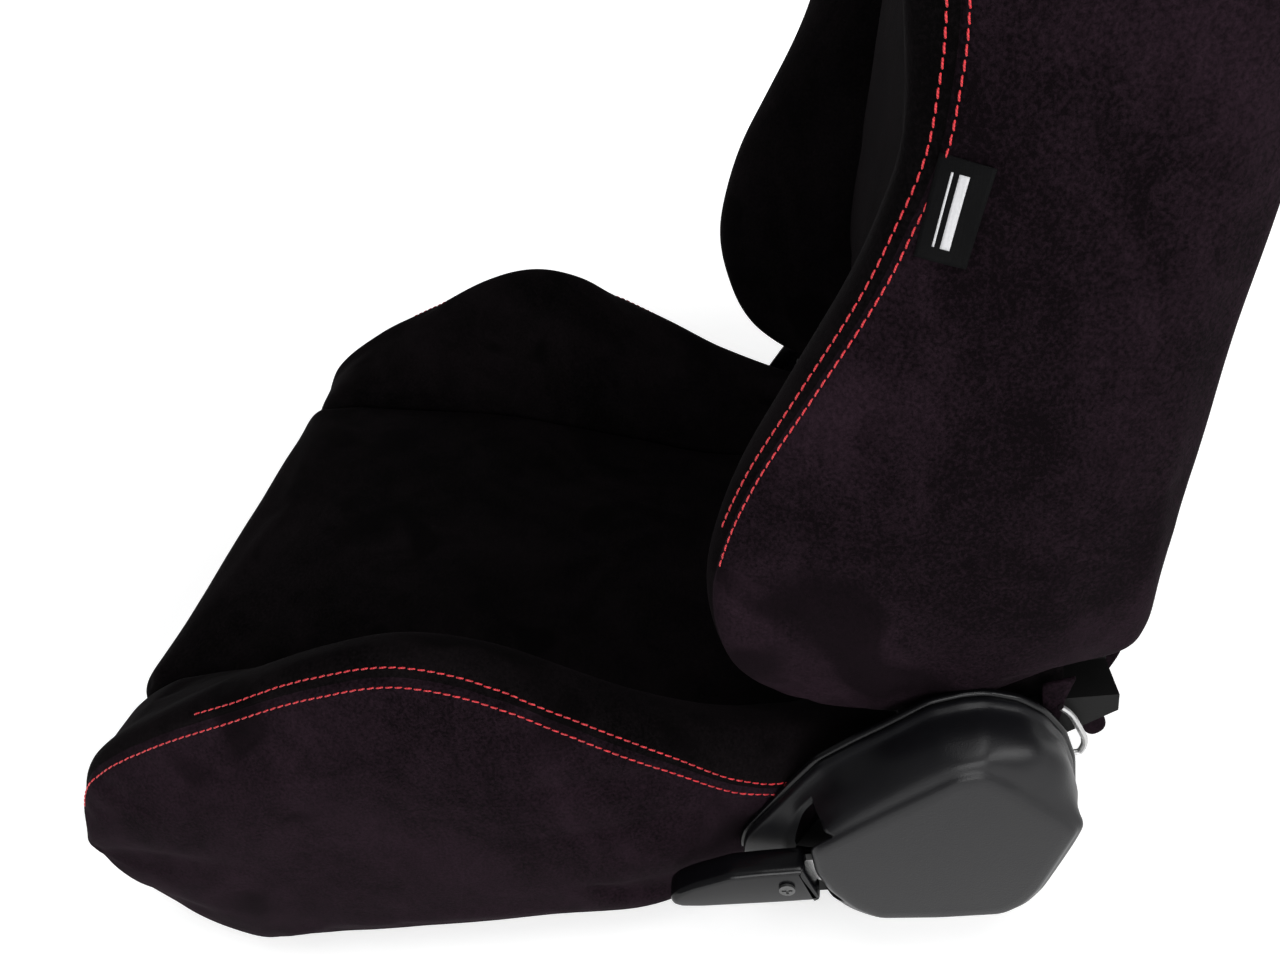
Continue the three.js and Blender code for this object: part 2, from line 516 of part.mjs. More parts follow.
/** The shoulder and head pad: narrow between the bolsters, full width above them, hollow behind for the frame. */
function headPad() {
  const width = (z) => (z < BACK.bolsterTop + 1 ? BACK.padHalf : backHalfWidth(z));
  const ring = (z) => {
    const [front, rear, half] = [backFront(z), backRear(z) - BACK.panel - GAP, width(z)];
    const thick = rear - front;
    const face = front - HEAD_CROWN;
    return [[-half + 12, rear], [-half, rear - 0.2 * thick], [-half, front + 0.3 * thick], [-half + 14, face],
      [half - 14, face], [half, front + 0.3 * thick], [half, rear - 0.2 * thick], [half - 12, rear]]
      .map(([x, y]) => v(x, y, z));
  };
  const places = [702, 740, 764, 766, 790, 815, 850, 885, 915, 935];
  const hollow = loft([700, 764, 768, 790, 815, 850, 885, 918].map((z) => {
    const half = z < 766 ? BACK.padHalf + 10 : backHalfWidth(z) - 20;
    const [front, rear] = [backFront(z) + BACK.padDepth, backRear(z) + 5];
    return [v(-half, rear, z), v(-half, front, z), v(half, front, z), v(half, rear, z)];
  }), "z");
  const recesses = bothSlots(SLOT.flange + GAP, -20, SLOT.flangeDepth + GAP);
  return cut(loft(places.map(ring), "z"), hollow, ...recesses, ...bothSlots(SLOT.wall + GAP, -20, 140));
}

function rearPanel() {
  const width = (z) => Math.min(BACK.notch - 2, backHalfWidth(z) - 14);
  const ring = (z) => {
    const [rear, half] = [backRear(z), width(z)];
    const crown = (share) => rear + 6 * (1 - share ** 2);
    const across = [-1, -0.5, 0.5, 1];
    return [...across.map((s) => v(s * half, crown(s) - BACK.panel, z)),
      ...across.reverse().map((s) => v(s * half, crown(s), z))];
  };
  const places = [226, 329, 430, 560, 700, 764, 790, 815, 850, 885, 915, 930];
  return cut(loft(places.map(ring), "z"), ...bothSlots(SLOT.wall + GAP, 40, 140));
}

/** A plastic slot liner pushed in from the front: a flange let into the pad and a sleeve to the rear panel. */
function slotBezel() {
  const sleeve = join(slotTool(SLOT.wall, 0, SLOT.depth), slotTool(SLOT.flange, 0, SLOT.flangeDepth));
  return cut(sleeve, slotTool(0, -20, 140));
}

function buildBackrest() {
  add("backrest_frame_tube", backTube(), STEEL_BLACK);
  backCrossTube(246, "backrest_cross_tube_low");
  backCrossTube(640, "backrest_cross_tube_high");
  const reach = 2 * (BACK_TUBE.x - BACK_TUBE.radius - 3);
  [340, 450, 560].forEach((z, i) => {
    const spring = zigzag((along, swing) => v(along - reach / 2, frameY(z), z + swing), 18, reach, 5);
    add(`backrest_spring_${i + 1}`, spring, STEEL_ZINC);
  });
  addPair("backrest_bolster", backBolster(), SUEDE);
  add("backrest_pad", backPad(), SUEDE);
  add("head_pad", headPad(), SUEDE);
  add("backrest_rear_panel", rearPanel(), SUEDE);
  addPair("harness_bezel", slotBezel(), PLASTIC);
}

/** The backrest cover's loose ends: a folded flap along its lower rear edge, and a strap with a wire hook each side. */
function buildTrim() {
  const flap = [[304, 222], [301, 190], [292, 160], [297, 128], [296, 102], [304, 90], [310, 93], [304, 127],
    [319, 163], [313, 222]];
  add("rear_flap", sidePlate(flap.reverse(), -184, 368), SUEDE);
  const strap = [[262, 157], [270, 157], [274, 181], [279, 196.5], [262, 192.5]];
  addPair("trim_strap", sidePlate(strap, 232, 2.4), SUEDE);
  const hook = [[271, 178], [276, 172], [281, 160], [284, 150], [281, 141], [274, 143], [272, 150]];
  addPair("trim_hook", bar(hook.map(([y, z]) => v(236.8, y, z)), 1.8, 8, 14), STEEL_ZINC);
  add("sewn_label", sidePlate([[203, 451], [222, 445], [234, 482], [215, 488]], 250.6, 1), LABEL);
}

buildBase();
addPair("cushion_bolster", cushionBolster(), SUEDE);
add("cushion_pad", cushionPad(), SUEDE);
buildRecliners();
buildRelease();
buildBackrest();
buildTrim();

export default seat;
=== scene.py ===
"""A reclining racing seat: black suede over foam, red twin stitching, moulded recliner covers."""
import math

import bmesh
import bpy
import numpy as np
from mathutils import Matrix, Vector, noise
from mathutils.bvhtree import BVHTree


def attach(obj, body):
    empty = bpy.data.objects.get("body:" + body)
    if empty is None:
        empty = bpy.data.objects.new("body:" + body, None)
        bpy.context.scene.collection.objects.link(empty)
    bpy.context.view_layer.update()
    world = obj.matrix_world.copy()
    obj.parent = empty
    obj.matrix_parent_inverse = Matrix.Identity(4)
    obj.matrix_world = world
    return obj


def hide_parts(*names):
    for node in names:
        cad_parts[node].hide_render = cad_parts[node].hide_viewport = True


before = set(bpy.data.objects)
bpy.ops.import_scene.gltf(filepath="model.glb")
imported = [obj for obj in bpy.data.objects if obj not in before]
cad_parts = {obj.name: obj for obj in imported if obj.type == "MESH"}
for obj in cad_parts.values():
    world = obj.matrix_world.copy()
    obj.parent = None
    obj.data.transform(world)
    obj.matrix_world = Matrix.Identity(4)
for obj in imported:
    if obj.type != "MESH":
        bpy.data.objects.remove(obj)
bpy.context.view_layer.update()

MM = 0.001
MIDDLE = 57.25  # the drawing's y at the frame's origin
SPACING = 5.0  # grid of the sewn covers
TIGHT = (0.9, 2.0, 4.0)  # rows beside a seam
SIDES = ((1, "left"), (-1, "right"))
PUFF_CAP, SEAM_DEPTH, SEAM_WIDTH = 4.0, 2.0, 2.6
scene = bpy.context.scene


# ---------------- profiles of the seat, drawing mm
def hermite(t):
    """Weights of a cubic's start, its slope there, its end and its slope there."""
    return 2 * t**3 - 3 * t**2 + 1, t**3 - 2 * t**2 + t, 3 * t**2 - 2 * t**3, t**3 - t**2


def curve(points):
    """A smooth function through (place, value) points, level beyond the first and last."""
    u = np.array([p[0] for p in points], float)
    v = np.array([p[1] for p in points], float)
    before = np.r_[0, np.arange(len(u) - 1)]
    after = np.r_[np.arange(1, len(u)), len(u) - 1]
    slope = (v[after] - v[before]) / (u[after] - u[before])

    def at(x):
        x = np.clip(np.asarray(x, float), u[0], u[-1])
        i = np.clip(np.searchsorted(u, x, side="right") - 1, 0, len(u) - 2)
        h = u[i + 1] - u[i]
        start, leave, end, arrive = hermite((x - u[i]) / h)
        value = start * v[i] + leave * h * slope[i] + end * v[i + 1] + arrive * h * slope[i + 1]
        return float(value) if value.ndim == 0 else value

    return at


cushion_top = curve([
    (-324, 142), (-312, 172), (-290, 203), (-240, 230), (-180, 250), (-120, 268), (-75, 272),
    (-35, 258), (0, 232), (40, 202), (85, 172), (135, 150), (190, 140)])
cushion_bottom = curve([
    (-324, 124), (-316, 87), (-292, 49), (-264, 25), (-244, 17), (35, 34), (190, 48)])
cushion_panel = curve([
    (-302, 172), (-296, 188), (-284, 199), (-262, 201), (-103, 164), (-17, 132), (77, 97),
    (115, 93), (150, 96), (190, 100)])
cushion_outer = curve([
    (-324, 250), (-312, 256), (-280, 260), (-200, 263), (0, 262), (40, 257), (88, 234),
    (115, 224), (190, 222)])
cushion_shoulder = curve([
    (-324, 252), (-312, 258), (-280, 261), (-200, 263), (0, 262), (40, 260), (88, 248),
    (115, 239), (150, 226), (190, 222)])
cushion_seam_drop = curve([
    (-324, 3), (-260, 5), (-190, 8), (-110, 11), (0, 12), (40, 14), (65, 20), (95, 33),
    (120, 40), (190, 40)])
back_seam_depth = curve([(170, 3), (300, 3), (380, 6), (450, 8), (500, 13), (540, 17), (764, 18)])
back_front = curve([
    (190, 222), (240, 208), (300, 206), (380, 222), (480, 246), (580, 272), (680, 298),
    (760, 316), (830, 322), (900, 330), (935, 352)])
back_rear = curve([
    (170, 196), (175, 222), (182, 244), (190, 264), (200, 288), (207, 303), (216, 311),
    (272, 319), (329, 326), (400, 337), (500, 357), (600, 380), (700, 402), (800, 422),
    (880, 434), (935, 426)])
bolster_front = curve([
    (170, 184), (174, 157), (188, 130), (214, 108), (247, 98), (282, 97), (314, 106), (353, 125),
    (392, 152), (427, 177), (451, 191), (484, 205), (515, 209), (560, 210), (620, 216),
    (680, 232), (730, 258), (764, 288)])
back_half_width = curve([
    (170, 222), (178, 230), (190, 235), (203, 238), (215, 242), (235, 248), (270, 252),
    (330, 254), (420, 252), (500, 247), (560, 247), (640, 256), (700, 258), (764, 240),
    (790, 208), (815, 172), (850, 154), (905, 142), (935, 112)])
PAD_HALF, BACK_HALF = 172, 166
CUSHION_NOSE, CUSHION_REAR, CUSHION_INNER, CUSHION_LOW_INNER = -324, 190, 176, 196
BACK_LOW, BACK_HIGH, BACK_INNER, BACK_NOTCH = 170, 764, 168, 214
BACK_PAD_DEPTH, BACK_PAD_TOP = 58, 701
HEAD_LOW, HEAD_HIGH = 702, 935
REAR_LOW, REAR_HIGH, REAR_THICK, REAR_ROUND, REAR_CROWN = 226, 930, 6, 2.6, 6
SHAFT_CHANNEL = (152, 168, 86)  # front, rear and roof of the space for the release shaft
SLOT_X, SLOT_Z, SLOT_WIDTH, SLOT_HEIGHT, SLOT_TILT = 96, 742, 76, 36, 12


def clamp(value, low, high):
    return max(low, min(high, value))


def pad_underside(y):
    return cushion_panel(y) - np.interp(y, (-324, 190), (56, 36))


# ---------------- materials
def node_maker(material):
    tree = material.node_tree

    def make(kind, inputs=(), **settings):
        node = tree.nodes.new(kind)
        for key, value in settings.items():
            setattr(node, key, value)
        for key, value in dict(inputs).items():
            if isinstance(value, bpy.types.NodeSocket):
                tree.links.new(value, node.inputs[key])
            else:
                node.inputs[key].default_value = value
        return node

    return make


def new_material(name):
    material = bpy.data.materials.new(name)
    material.use_nodes = True
    material.node_tree.nodes.clear()
    make = node_maker(material)
    return material, make, make("ShaderNodeTexCoord").outputs["Object"]


def noise_field(make, place, scale, detail=3.0, roughness=0.55, distortion=0.0):
    return make("ShaderNodeTexNoise", {
        "Vector": place, "Scale": scale, "Detail": detail, "Roughness": roughness,
        "Distortion": distortion}).outputs["Fac"]


def span(make, value, low, high, to_low=0.0, to_high=1.0):
    return make("ShaderNodeMapRange", {
        "Value": value, "From Min": low, "From Max": high, "To Min": to_low,
        "To Max": to_high}).outputs["Result"]


def combined(make, first, second, operation="ADD", **settings):
    return make("ShaderNodeMath", {0: first, 1: second}, operation=operation, **settings).outputs[0]


def scaled(make, place, scale):
    return make("ShaderNodeMapping", {"Vector": place, "Scale": scale}).outputs["Vector"]


def mixed(make, share, first, second, blend="MIX"):
    node = make("ShaderNodeMix", data_type="RGBA", blend_type=blend)
    tree = node.id_data
    for index, value in ((0, share), (6, first), (7, second)):
        if isinstance(value, bpy.types.NodeSocket):
            tree.links.new(value, node.inputs[index])
        else:
            node.inputs[index].default_value = value
    return node.outputs[2]


def bumped(make, steps):
    normal = None
    for height, distance, strength in steps:
        inputs = {"Height": height, "Distance": distance, "Strength": strength}
        if normal is not None:
            inputs["Normal"] = normal
        normal = make("ShaderNodeBump", inputs).outputs["Normal"]
    return normal


def finish_material(make, colour, roughness, normal, **fixed):
    inputs = {"Base Color": colour, "Roughness": roughness}
    if normal is not None:
        inputs["Normal"] = normal
    inputs.update({key.replace("_", " "): value for key, value in fixed.items()})
    shader = make("ShaderNodeBsdfPrincipled", inputs)
    make("ShaderNodeOutputMaterial", {"Surface": shader.outputs["BSDF"]})


def grey(value, tint=(1.0, 1.0, 1.0)):
    return (value * tint[0], value * tint[1], value * tint[2], 1.0)


def suede_material(name, level=1.0, tint=(1.0, 0.54, 0.82)):
    material, make, place = new_material(name)
    cloud = noise_field(make, scaled(make, place, (1.0, 1.0, 0.6)), 8.0, 4.0, 0.62, 0.9)
    brushed = noise_field(make, place, 30.0, 3.0, 0.6, 1.2)
    smudge = noise_field(make, place, 15.0, 1.2, 0.4, 0.4)
    nap = noise_field(make, place, 560.0, 3.0, 0.65)
    fibre = noise_field(make, place, 1700.0, 2.0, 0.6)
    blotch = combined(make, span(make, cloud, 0.34, 0.66, 0.0, 0.62),
                      span(make, brushed, 0.3, 0.7, -0.12, 0.16))
    tone = combined(make, blotch, span(make, nap, 0.34, 0.68, -0.22, 0.42), use_clamp=True)
    base = mixed(make, tone, grey(0.0020 * level, tint), grey(0.0150 * level, tint))
    base = mixed(make, span(make, smudge, 0.62, 0.68, 0.0, 0.7), base, grey(0.0022 * level, tint))
    base = mixed(make, span(make, fibre, 0.5, 0.72, 0.0, 0.45), base, grey(0.0014 * level, tint))
    rough = span(make, nap, 0.3, 0.7, 0.86, 0.98)
    normal = bumped(make, [(brushed, 0.0012, 0.35), (nap, 0.0005, 0.7), (fibre, 0.00022, 0.5)])
    finish_material(make, base, rough, normal, Sheen_Weight=0.016 * level,
                    Sheen_Roughness=0.45, Sheen_Tint=grey(1.0, (0.62, 0.42, 0.54)),
                    Specular_IOR_Level=0.03)
    return material


def plastic_material(name, colour, rough_low, rough_high, grain, depth):
    material, make, place = new_material(name)
    pebble = make("ShaderNodeTexVoronoi", {"Vector": place, "Scale": grain},
                  feature="SMOOTH_F1").outputs["Distance"]
    fine = noise_field(make, place, grain * 2.3, 3.0, 0.6)
    patch = noise_field(make, place, 24.0, 3.0, 0.6)
    scuff = noise_field(make, scaled(make, place, (3.0, 1.0, 9.0)), 70.0, 5.0, 0.7)
    base = mixed(make, span(make, patch, 0.35, 0.65), grey(colour * 0.86, (0.96, 0.96, 1.2)),
                 grey(colour * 1.12, (0.96, 0.96, 1.2)))
    base = mixed(make, span(make, scuff, 0.68, 0.78, 0.0, 0.25), base, grey(colour * 2.2))
    rough = combined(make, span(make, patch, 0.3, 0.7, rough_low, rough_high),
                     span(make, scuff, 0.66, 0.8, 0.0, 0.1))
    normal = bumped(make, [(pebble, depth, 0.6), (fine, depth * 0.4, 0.4)])
    finish_material(make, base, rough, normal, Specular_IOR_Level=0.28)
    return material


def metal_material(name, colour, rough, metallic, gloss=0.35):
    material, make, place = new_material(name)
    lines = noise_field(make, scaled(make, place, (1.0, 1.0, 6.0)), 190.0, 5.0, 0.7)
    patch = noise_field(make, place, 26.0, 4.0, 0.6)
    peel = noise_field(make, place, 850.0, 2.0, 0.5)
    base = mixed(make, span(make, patch, 0.3, 0.7), grey(colour * 0.8), grey(colour * 1.2))
    base = mixed(make, span(make, lines, 0.62, 0.75, 0.0, 0.4), base, grey(colour * 1.7))
    level = combined(make, span(make, lines, 0.3, 0.7, rough - 0.07, rough + 0.07),
                     span(make, patch, 0.3, 0.7, -0.05, 0.05))
    normal = bumped(make, [(peel, 0.00012, 0.4), (lines, 0.00005, 0.3)])
    finish_material(make, base, level, normal, Metallic=metallic, Specular_IOR_Level=gloss)
    return material


def thread_material(name, colour, dark):
    material, make, place = new_material(name)
    twist = make("ShaderNodeTexWave", {
        "Vector": place, "Scale": 420.0, "Distortion": 2.0, "Detail": 1.0},
        bands_direction="DIAGONAL").outputs["Fac"]
    wear = noise_field(make, place, 90.0, 3.0, 0.6)
    base = mixed(make, twist, dark, colour)
    base = mixed(make, span(make, wear, 0.55, 0.8, 0.0, 0.35), base, dark)
    normal = bumped(make, [(twist, 0.0002, 0.6)])
    finish_material(make, base, span(make, twist, 0.0, 1.0, 0.42, 0.6), normal,
                    Sheen_Weight=0.3, Sheen_Roughness=0.4, Sheen_Tint=(1.0, 0.6, 0.6, 1.0))
    return material


def woven_material(name, colour, light, gloss):
    material, make, place = new_material(name)
    waves = [make("ShaderNodeTexWave", {"Vector": place, "Scale": 700.0, "Distortion": 0.6},
                  bands_direction=way).outputs["Fac"] for way in ("Y", "Z")]
    weave = combined(make, *waves, "MULTIPLY")
    patch = noise_field(make, place, 60.0, 3.0, 0.6)
    base = mixed(make, weave, colour, light)
    base = mixed(make, span(make, patch, 0.4, 0.7, 0.0, 0.4), base, colour)
    finish_material(make, base, span(make, patch, 0.3, 0.7, 0.5, 0.7),
                    bumped(make, [(weave, 0.0002, 0.5)]), Specular_IOR_Level=gloss)
    return material


SUEDE = suede_material("suede_nap")
# A darker copy of the same suede, painted shade for the pads, the bolsters' inner sides and the side
# gussets, which face away from the lamps.
SUEDE_PAINTED_SHADE = suede_material("suede_centre", 0.34, (1.0, 0.74, 0.86))
RED_THREAD = thread_material("thread_red", (0.62, 0.012, 0.022, 1), (0.3, 0.006, 0.012, 1))
COVER = plastic_material("cover_plastic", 0.0042, 0.33, 0.41, 1500.0, 0.00012)
COVER_INNER = plastic_material("cover_plastic_inner", 0.002, 0.22, 0.32, 1900.0, 0.00003)
GRIP = plastic_material("grip_plastic", 0.0026, 0.17, 0.25, 1700.0, 0.00004)
BEZEL = plastic_material("bezel_plastic", 0.018, 0.36, 0.46, 1500.0, 0.00010)
LABEL = woven_material("label_weave", (0.001, 0.001, 0.0012, 1), (0.003, 0.003, 0.0034, 1), 0.06)
LABEL_PALE = woven_material("label_stripe", (0.42, 0.42, 0.43, 1), (0.72, 0.72, 0.74, 1), 0.2)
BLACK_STEEL = metal_material("powder_coat", 0.005, 0.5, 0.0, 0.1)
SPRING_STEEL = metal_material("spring_steel", 0.11, 0.40, 0.85)
BRIGHT_STEEL = metal_material("zinc_steel", 0.46, 0.30, 1.0)


# ---------------- mesh building
def place_points(points):
    points = np.asarray(points, float)
    return (points - (0.0, MIDDLE, 0.0)) * MM


def new_mesh(name, points, faces):
    data = bpy.data.meshes.new(name)
    data.from_pydata(place_points(points).tolist(), [], [tuple(f) for f in faces])
    work = bmesh.new()
    work.from_mesh(data)
    bmesh.ops.recalc_face_normals(work, faces=work.faces)
    work.to_mesh(data)
    work.free()
    return data


def make_object(name, points, faces, body, material, stands_for=()):
    data = new_mesh(name, points, faces)
    data.materials.append(material)
    data.shade_smooth()
    obj = bpy.data.objects.new(name, data)
    scene.collection.objects.link(obj)
    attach(obj, body)
    if stands_for:
        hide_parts(*stands_for)
    return obj


def coordinates(obj, field="co"):
    values = np.zeros(len(obj.data.vertices) * 3)
    obj.data.vertices.foreach_get(field, values)
    return values.reshape(-1, 3)


def set_coordinates(obj, values):
    obj.data.vertices.foreach_set("co", np.asarray(values, np.float32).ravel())
    obj.data.update()


def smooth_line(keys, kinds, per=14):
    """A closed line through keys: "c" is a corner, "s" a smooth point and "m" a seam."""
    keys = np.array(keys, float)
    after, before = np.roll(keys, -1, 0) - keys, keys - np.roll(keys, 1, 0)
    la = np.maximum(np.linalg.norm(after, axis=1), 1e-6)[:, None]
    lb = np.maximum(np.linalg.norm(before, axis=1), 1e-6)[:, None]
    tangent = (after / la * lb + before / lb * la) / (la + lb)
    points = []
    for i in range(len(keys)):
        j = (i + 1) % len(keys)
        length, chord = la[i], after[i] / la[i]
        start = chord if kinds[i] == "c" else tangent[i]
        end = chord if kinds[j] == "c" else tangent[j]
        weight = hermite((np.arange(per) / per)[:, None])
        points.append(weight[0] * keys[i] + weight[1] * length * start
                      + weight[2] * keys[j] + weight[3] * length * end)
    return np.vstack(points)


def ring_runs(keys, kinds):
    """The stretches between corners and seams: (key, next key, start, length) along the line."""
    per = 14
    line = smooth_line(keys, kinds, per)
    closed = np.vstack([line, line, line[:1]])
    along = np.r_[0, np.cumsum(np.linalg.norm(np.diff(closed, axis=0), axis=1))]
    anchors = [k for k, kind in enumerate(kinds) if kind in "cm"]
    runs = []
    for k, nxt in zip(anchors, anchors[1:] + [anchors[0] + len(keys)]):
        runs.append((k, nxt % len(keys), along[k * per], along[nxt * per] - along[k * per]))
    return runs, closed, along


def ring_counts(keys, kinds):
    return [max(2, int(round(length / SPACING))) for _, _, _, length in ring_runs(keys, kinds)[0]]


def ring(keys, kinds, counts):
    """Points round a section with the same count at every station, and the row of each seam."""
    runs, closed, along = ring_runs(keys, kinds)
    where, rows = [], {}
    for (k, nxt, start, length), count in zip(runs, counts):
        rows[k] = len(where)
        lead = TIGHT if kinds[k] == "m" else ()
        trail = TIGHT if kinds[nxt] == "m" else ()
        reach = (lead[-1] if lead else 0) + (trail[-1] if trail else 0)
        scale = min(1.0, 0.7 * length / reach) if reach else 1.0
        low = lead[-1] * scale if lead else 0.0
        high = length - (trail[-1] * scale if trail else 0.0)
        inside = [0.0] + [t * scale for t in lead] + list(np.linspace(low, high, count + 2)[1:-1])
        inside += [length - t * scale for t in reversed(trail)]
        where += [start + w for w in inside]
    where = np.array(where)
    return np.stack([np.interp(where, along, closed[:, c]) for c in (0, 1)], 1), rows


def end_strip(points, start):
    """Closes a ring with a strip of four-sided faces, joined across where it is narrowest."""
    n = len(points)
    i = np.arange((n - 1) // 2 + 1)
    spread = [np.linalg.norm(points[(o + i) % n] - points[(o - 1 - i) % n], axis=1).sum()
              for o in range(n)]
    o = int(np.argmin(spread))
    faces = []
    for k in range(n // 2):
        a, b, c, d = (o + k) % n, (o + k + 1) % n, (o - 2 - k) % n, (o - 1 - k) % n
        corners = list(dict.fromkeys((start + a, start + b, start + c, start + d)))
        if len(corners) > 2 and k < (n - 1) // 2:
            faces.append(tuple(corners))
    return faces


def loft_faces(rings, closed_ends=True):
    faces, count = [], len(rings[0])
    for a in range(0, (len(rings) - 1) * count, count):
        for i in range(count):
            j = (i + 1) % count
            faces.append((a + i, a + j, a + count + j, a + count + i))
    if closed_ends:
        faces += end_strip(rings[0], 0) + end_strip(rings[-1], (len(rings) - 1) * count)
    return faces


def by_length(profiles, low, high):
    """Stations from low to high, closer together where any of the profiles is steep."""
    fine = np.linspace(low, high, 1500)
    steep = np.max([np.abs(np.gradient(p(fine), fine)) for p in profiles], axis=0)
    density = np.sqrt(1 + np.minimum(steep, 5.0) ** 2)
    along = np.r_[0, np.cumsum((density[1:] + density[:-1]) / 2 * np.diff(fine))]
    return np.interp(np.linspace(0, along[-1], int(along[-1] / SPACING) + 1), along, fine)


# ---------------- sewing
def puff(obj, held):
    """Blows the cover up between its seams as cloth, and holds the points in held."""
    steps = 20
    rest = coordinates(obj)
    group = obj.vertex_groups.new(name="held")
    group.add([int(i) for i in held], 1.0, "REPLACE")
    cloth = obj.modifiers.new("Cloth", "CLOTH")
    cloth.settings.quality = 4
    cloth.settings.use_pressure = True
    cloth.settings.uniform_pressure_force = 4.0
    cloth.settings.vertex_group_mass = "held"
    cloth.settings.effector_weights.gravity = 0
    cloth.point_cache.frame_start, cloth.point_cache.frame_end = 1, steps
    for step in range(1, steps + 1):
        scene.frame_set(step)
    move = coordinates(obj.evaluated_get(bpy.context.evaluated_depsgraph_get())) - rest
    obj.modifiers.remove(cloth)
    obj.vertex_groups.remove(group)
    scene.frame_set(1)
    length = np.maximum(np.linalg.norm(move, axis=1), 1e-9)
    limit = PUFF_CAP * MM
    set_coordinates(obj, rest + move * (limit * np.tanh(length / limit) / length)[:, None])


def ripple(obj, amount, scale, seed):
    """Gentle unevenness of a cover pulled over foam."""
    values, outward = coordinates(obj), coordinates(obj, "normal")
    shift = Vector((seed * 3.7, seed * 1.3, seed * 2.1))
    height = np.array([noise.noise(Vector(v) * scale + shift) for v in values])
    set_coordinates(obj, values + outward * (height * amount * MM)[:, None])


def groove(obj, line, depth, width):
    """Draws the cover in along a seam, given as points in metres with a strength each."""
    values, outward = coordinates(obj), coordinates(obj, "normal")
    points = np.array([p for p, _ in line])
    strength = np.array([s for _, s in line])
    near = np.full(len(values), 1e9)
    force = np.zeros(len(values))
    for a, b, sa, sb in zip(points[:-1], points[1:], strength[:-1], strength[1:]):
        d = b - a
        t = np.clip(((values - a) @ d) / max(d @ d, 1e-12), 0, 1)
        gap = np.linalg.norm(values - (a + t[:, None] * d), axis=1)
        better = gap < near
        near[better] = gap[better]
        force[better] = (sa + (sb - sa) * t)[better]
    pull = depth * MM * force * np.exp(-((near / (width * MM)) ** 2))
    set_coordinates(obj, values - outward * pull[:, None])


def refine(obj, levels=1):
    subdivision = obj.modifiers.new("Subdivision", "SUBSURF")
    subdivision.levels = subdivision.render_levels = levels


def surface_of(obj):
    graph = bpy.context.evaluated_depsgraph_get()
    return BVHTree.FromObject(obj.evaluated_get(graph), graph)


def evened(points, pitch):
    points = np.array(points, float)
    along = np.r_[0, np.cumsum(np.linalg.norm(np.diff(points, axis=0), axis=1))]
    where = np.arange(pitch / 2, along[-1], pitch)
    return np.stack([np.interp(where, along, points[:, c]) for c in range(3)], 1)


def stitches(name, obj, path, body, pitch=5.2, length=4.4, radius=0.5):
    """A row of sewn thread along a path over a cover; each stitch dives in at its ends."""
    tree = surface_of(obj)
    spots = []
    for p in evened(path, pitch * MM):
        at, normal, _, _ = tree.find_nearest(Vector(p))
        spots.append((np.array(at), np.array(normal)))
    verts, faces, sides, lean = [], [], 6, 0.1
    profile = [(-0.5, -0.75, 0.5), (-0.4, 0.0, 0.85), (-0.15, 0.45, 1.0), (0.15, 0.45, 1.0),
               (0.4, 0.0, 0.85), (0.5, -0.75, 0.5)]
    tube = loft_faces([range(sides)] * len(profile), False)
    for i, (at, normal) in enumerate(spots):
        ahead = spots[min(i + 1, len(spots) - 1)][0] - spots[max(i - 1, 0)][0]
        ahead = ahead - normal * (ahead @ normal)
        ahead /= max(np.linalg.norm(ahead), 1e-9)
        side = np.cross(normal, ahead)
        slant = ahead * math.cos(lean) + side * math.sin(lean)
        side = np.cross(normal, slant)
        base = len(verts)
        for t, lift, size in profile:
            middle = at + slant * (t * length * MM) + normal * (lift * radius * MM)
            for k in range(sides):
                a = 2 * math.pi * k / sides
                verts.append(middle + (side * math.cos(a) + normal * math.sin(a))
                             * (size * radius * MM))
        last = base + (len(profile) - 1) * sides
        faces += [tuple(base + f for f in face) for face in tube]
        faces += [tuple(range(base, base + sides)), tuple(range(last, last + sides))]
    drawn = np.array(verts) / MM + (0.0, MIDDLE, 0.0)
    make_object(name, drawn, faces, body, RED_THREAD)


# ---------------- cushion bolsters
def cushion_section(y):
    top, bottom, outer = cushion_top(y), cushion_bottom(y), cushion_outer(y)
    h = top - bottom
    low = bottom + 0.45 * h
    valley = clamp(cushion_panel(y), low, top - 0.12 * h)
    shelf = clamp(pad_underside(y) - 1, bottom + 0.15 * h, valley - 0.1 * h)
    drop = min(1.0, h / 160)
    shoulder, seam_drop = cushion_shoulder(y), cushion_seam_drop(y) * drop
    keys = [(CUSHION_LOW_INNER, bottom), (CUSHION_LOW_INNER, shelf), (CUSHION_INNER, shelf),
            (CUSHION_INNER, valley), (CUSHION_INNER + 12, valley + 0.46 * (top - valley)),
            (shoulder - 50, top - 0.13 * (top - valley) - 4 * drop),
            (shoulder - 35, top - 5 * drop), (shoulder - 20, top - 0.5 * drop),
            (shoulder - 13 + 0.5 * seam_drop, top - seam_drop),
            (0.7 * shoulder + 0.3 * outer - 1, top - 24 * drop - seam_drop), (outer + 1, low),
            (outer - 3, bottom + 0.17 * h), (outer - 10, bottom + 2 * drop)]
    return keys, BOLSTER_KINDS


BOLSTER_KINDS = "cccc" + "ssssmssss"
SEAM_KEY = BOLSTER_KINDS.index("m")
HELD_KEYS = BOLSTER_KINDS.count("c")  # the corners of the hidden inner side


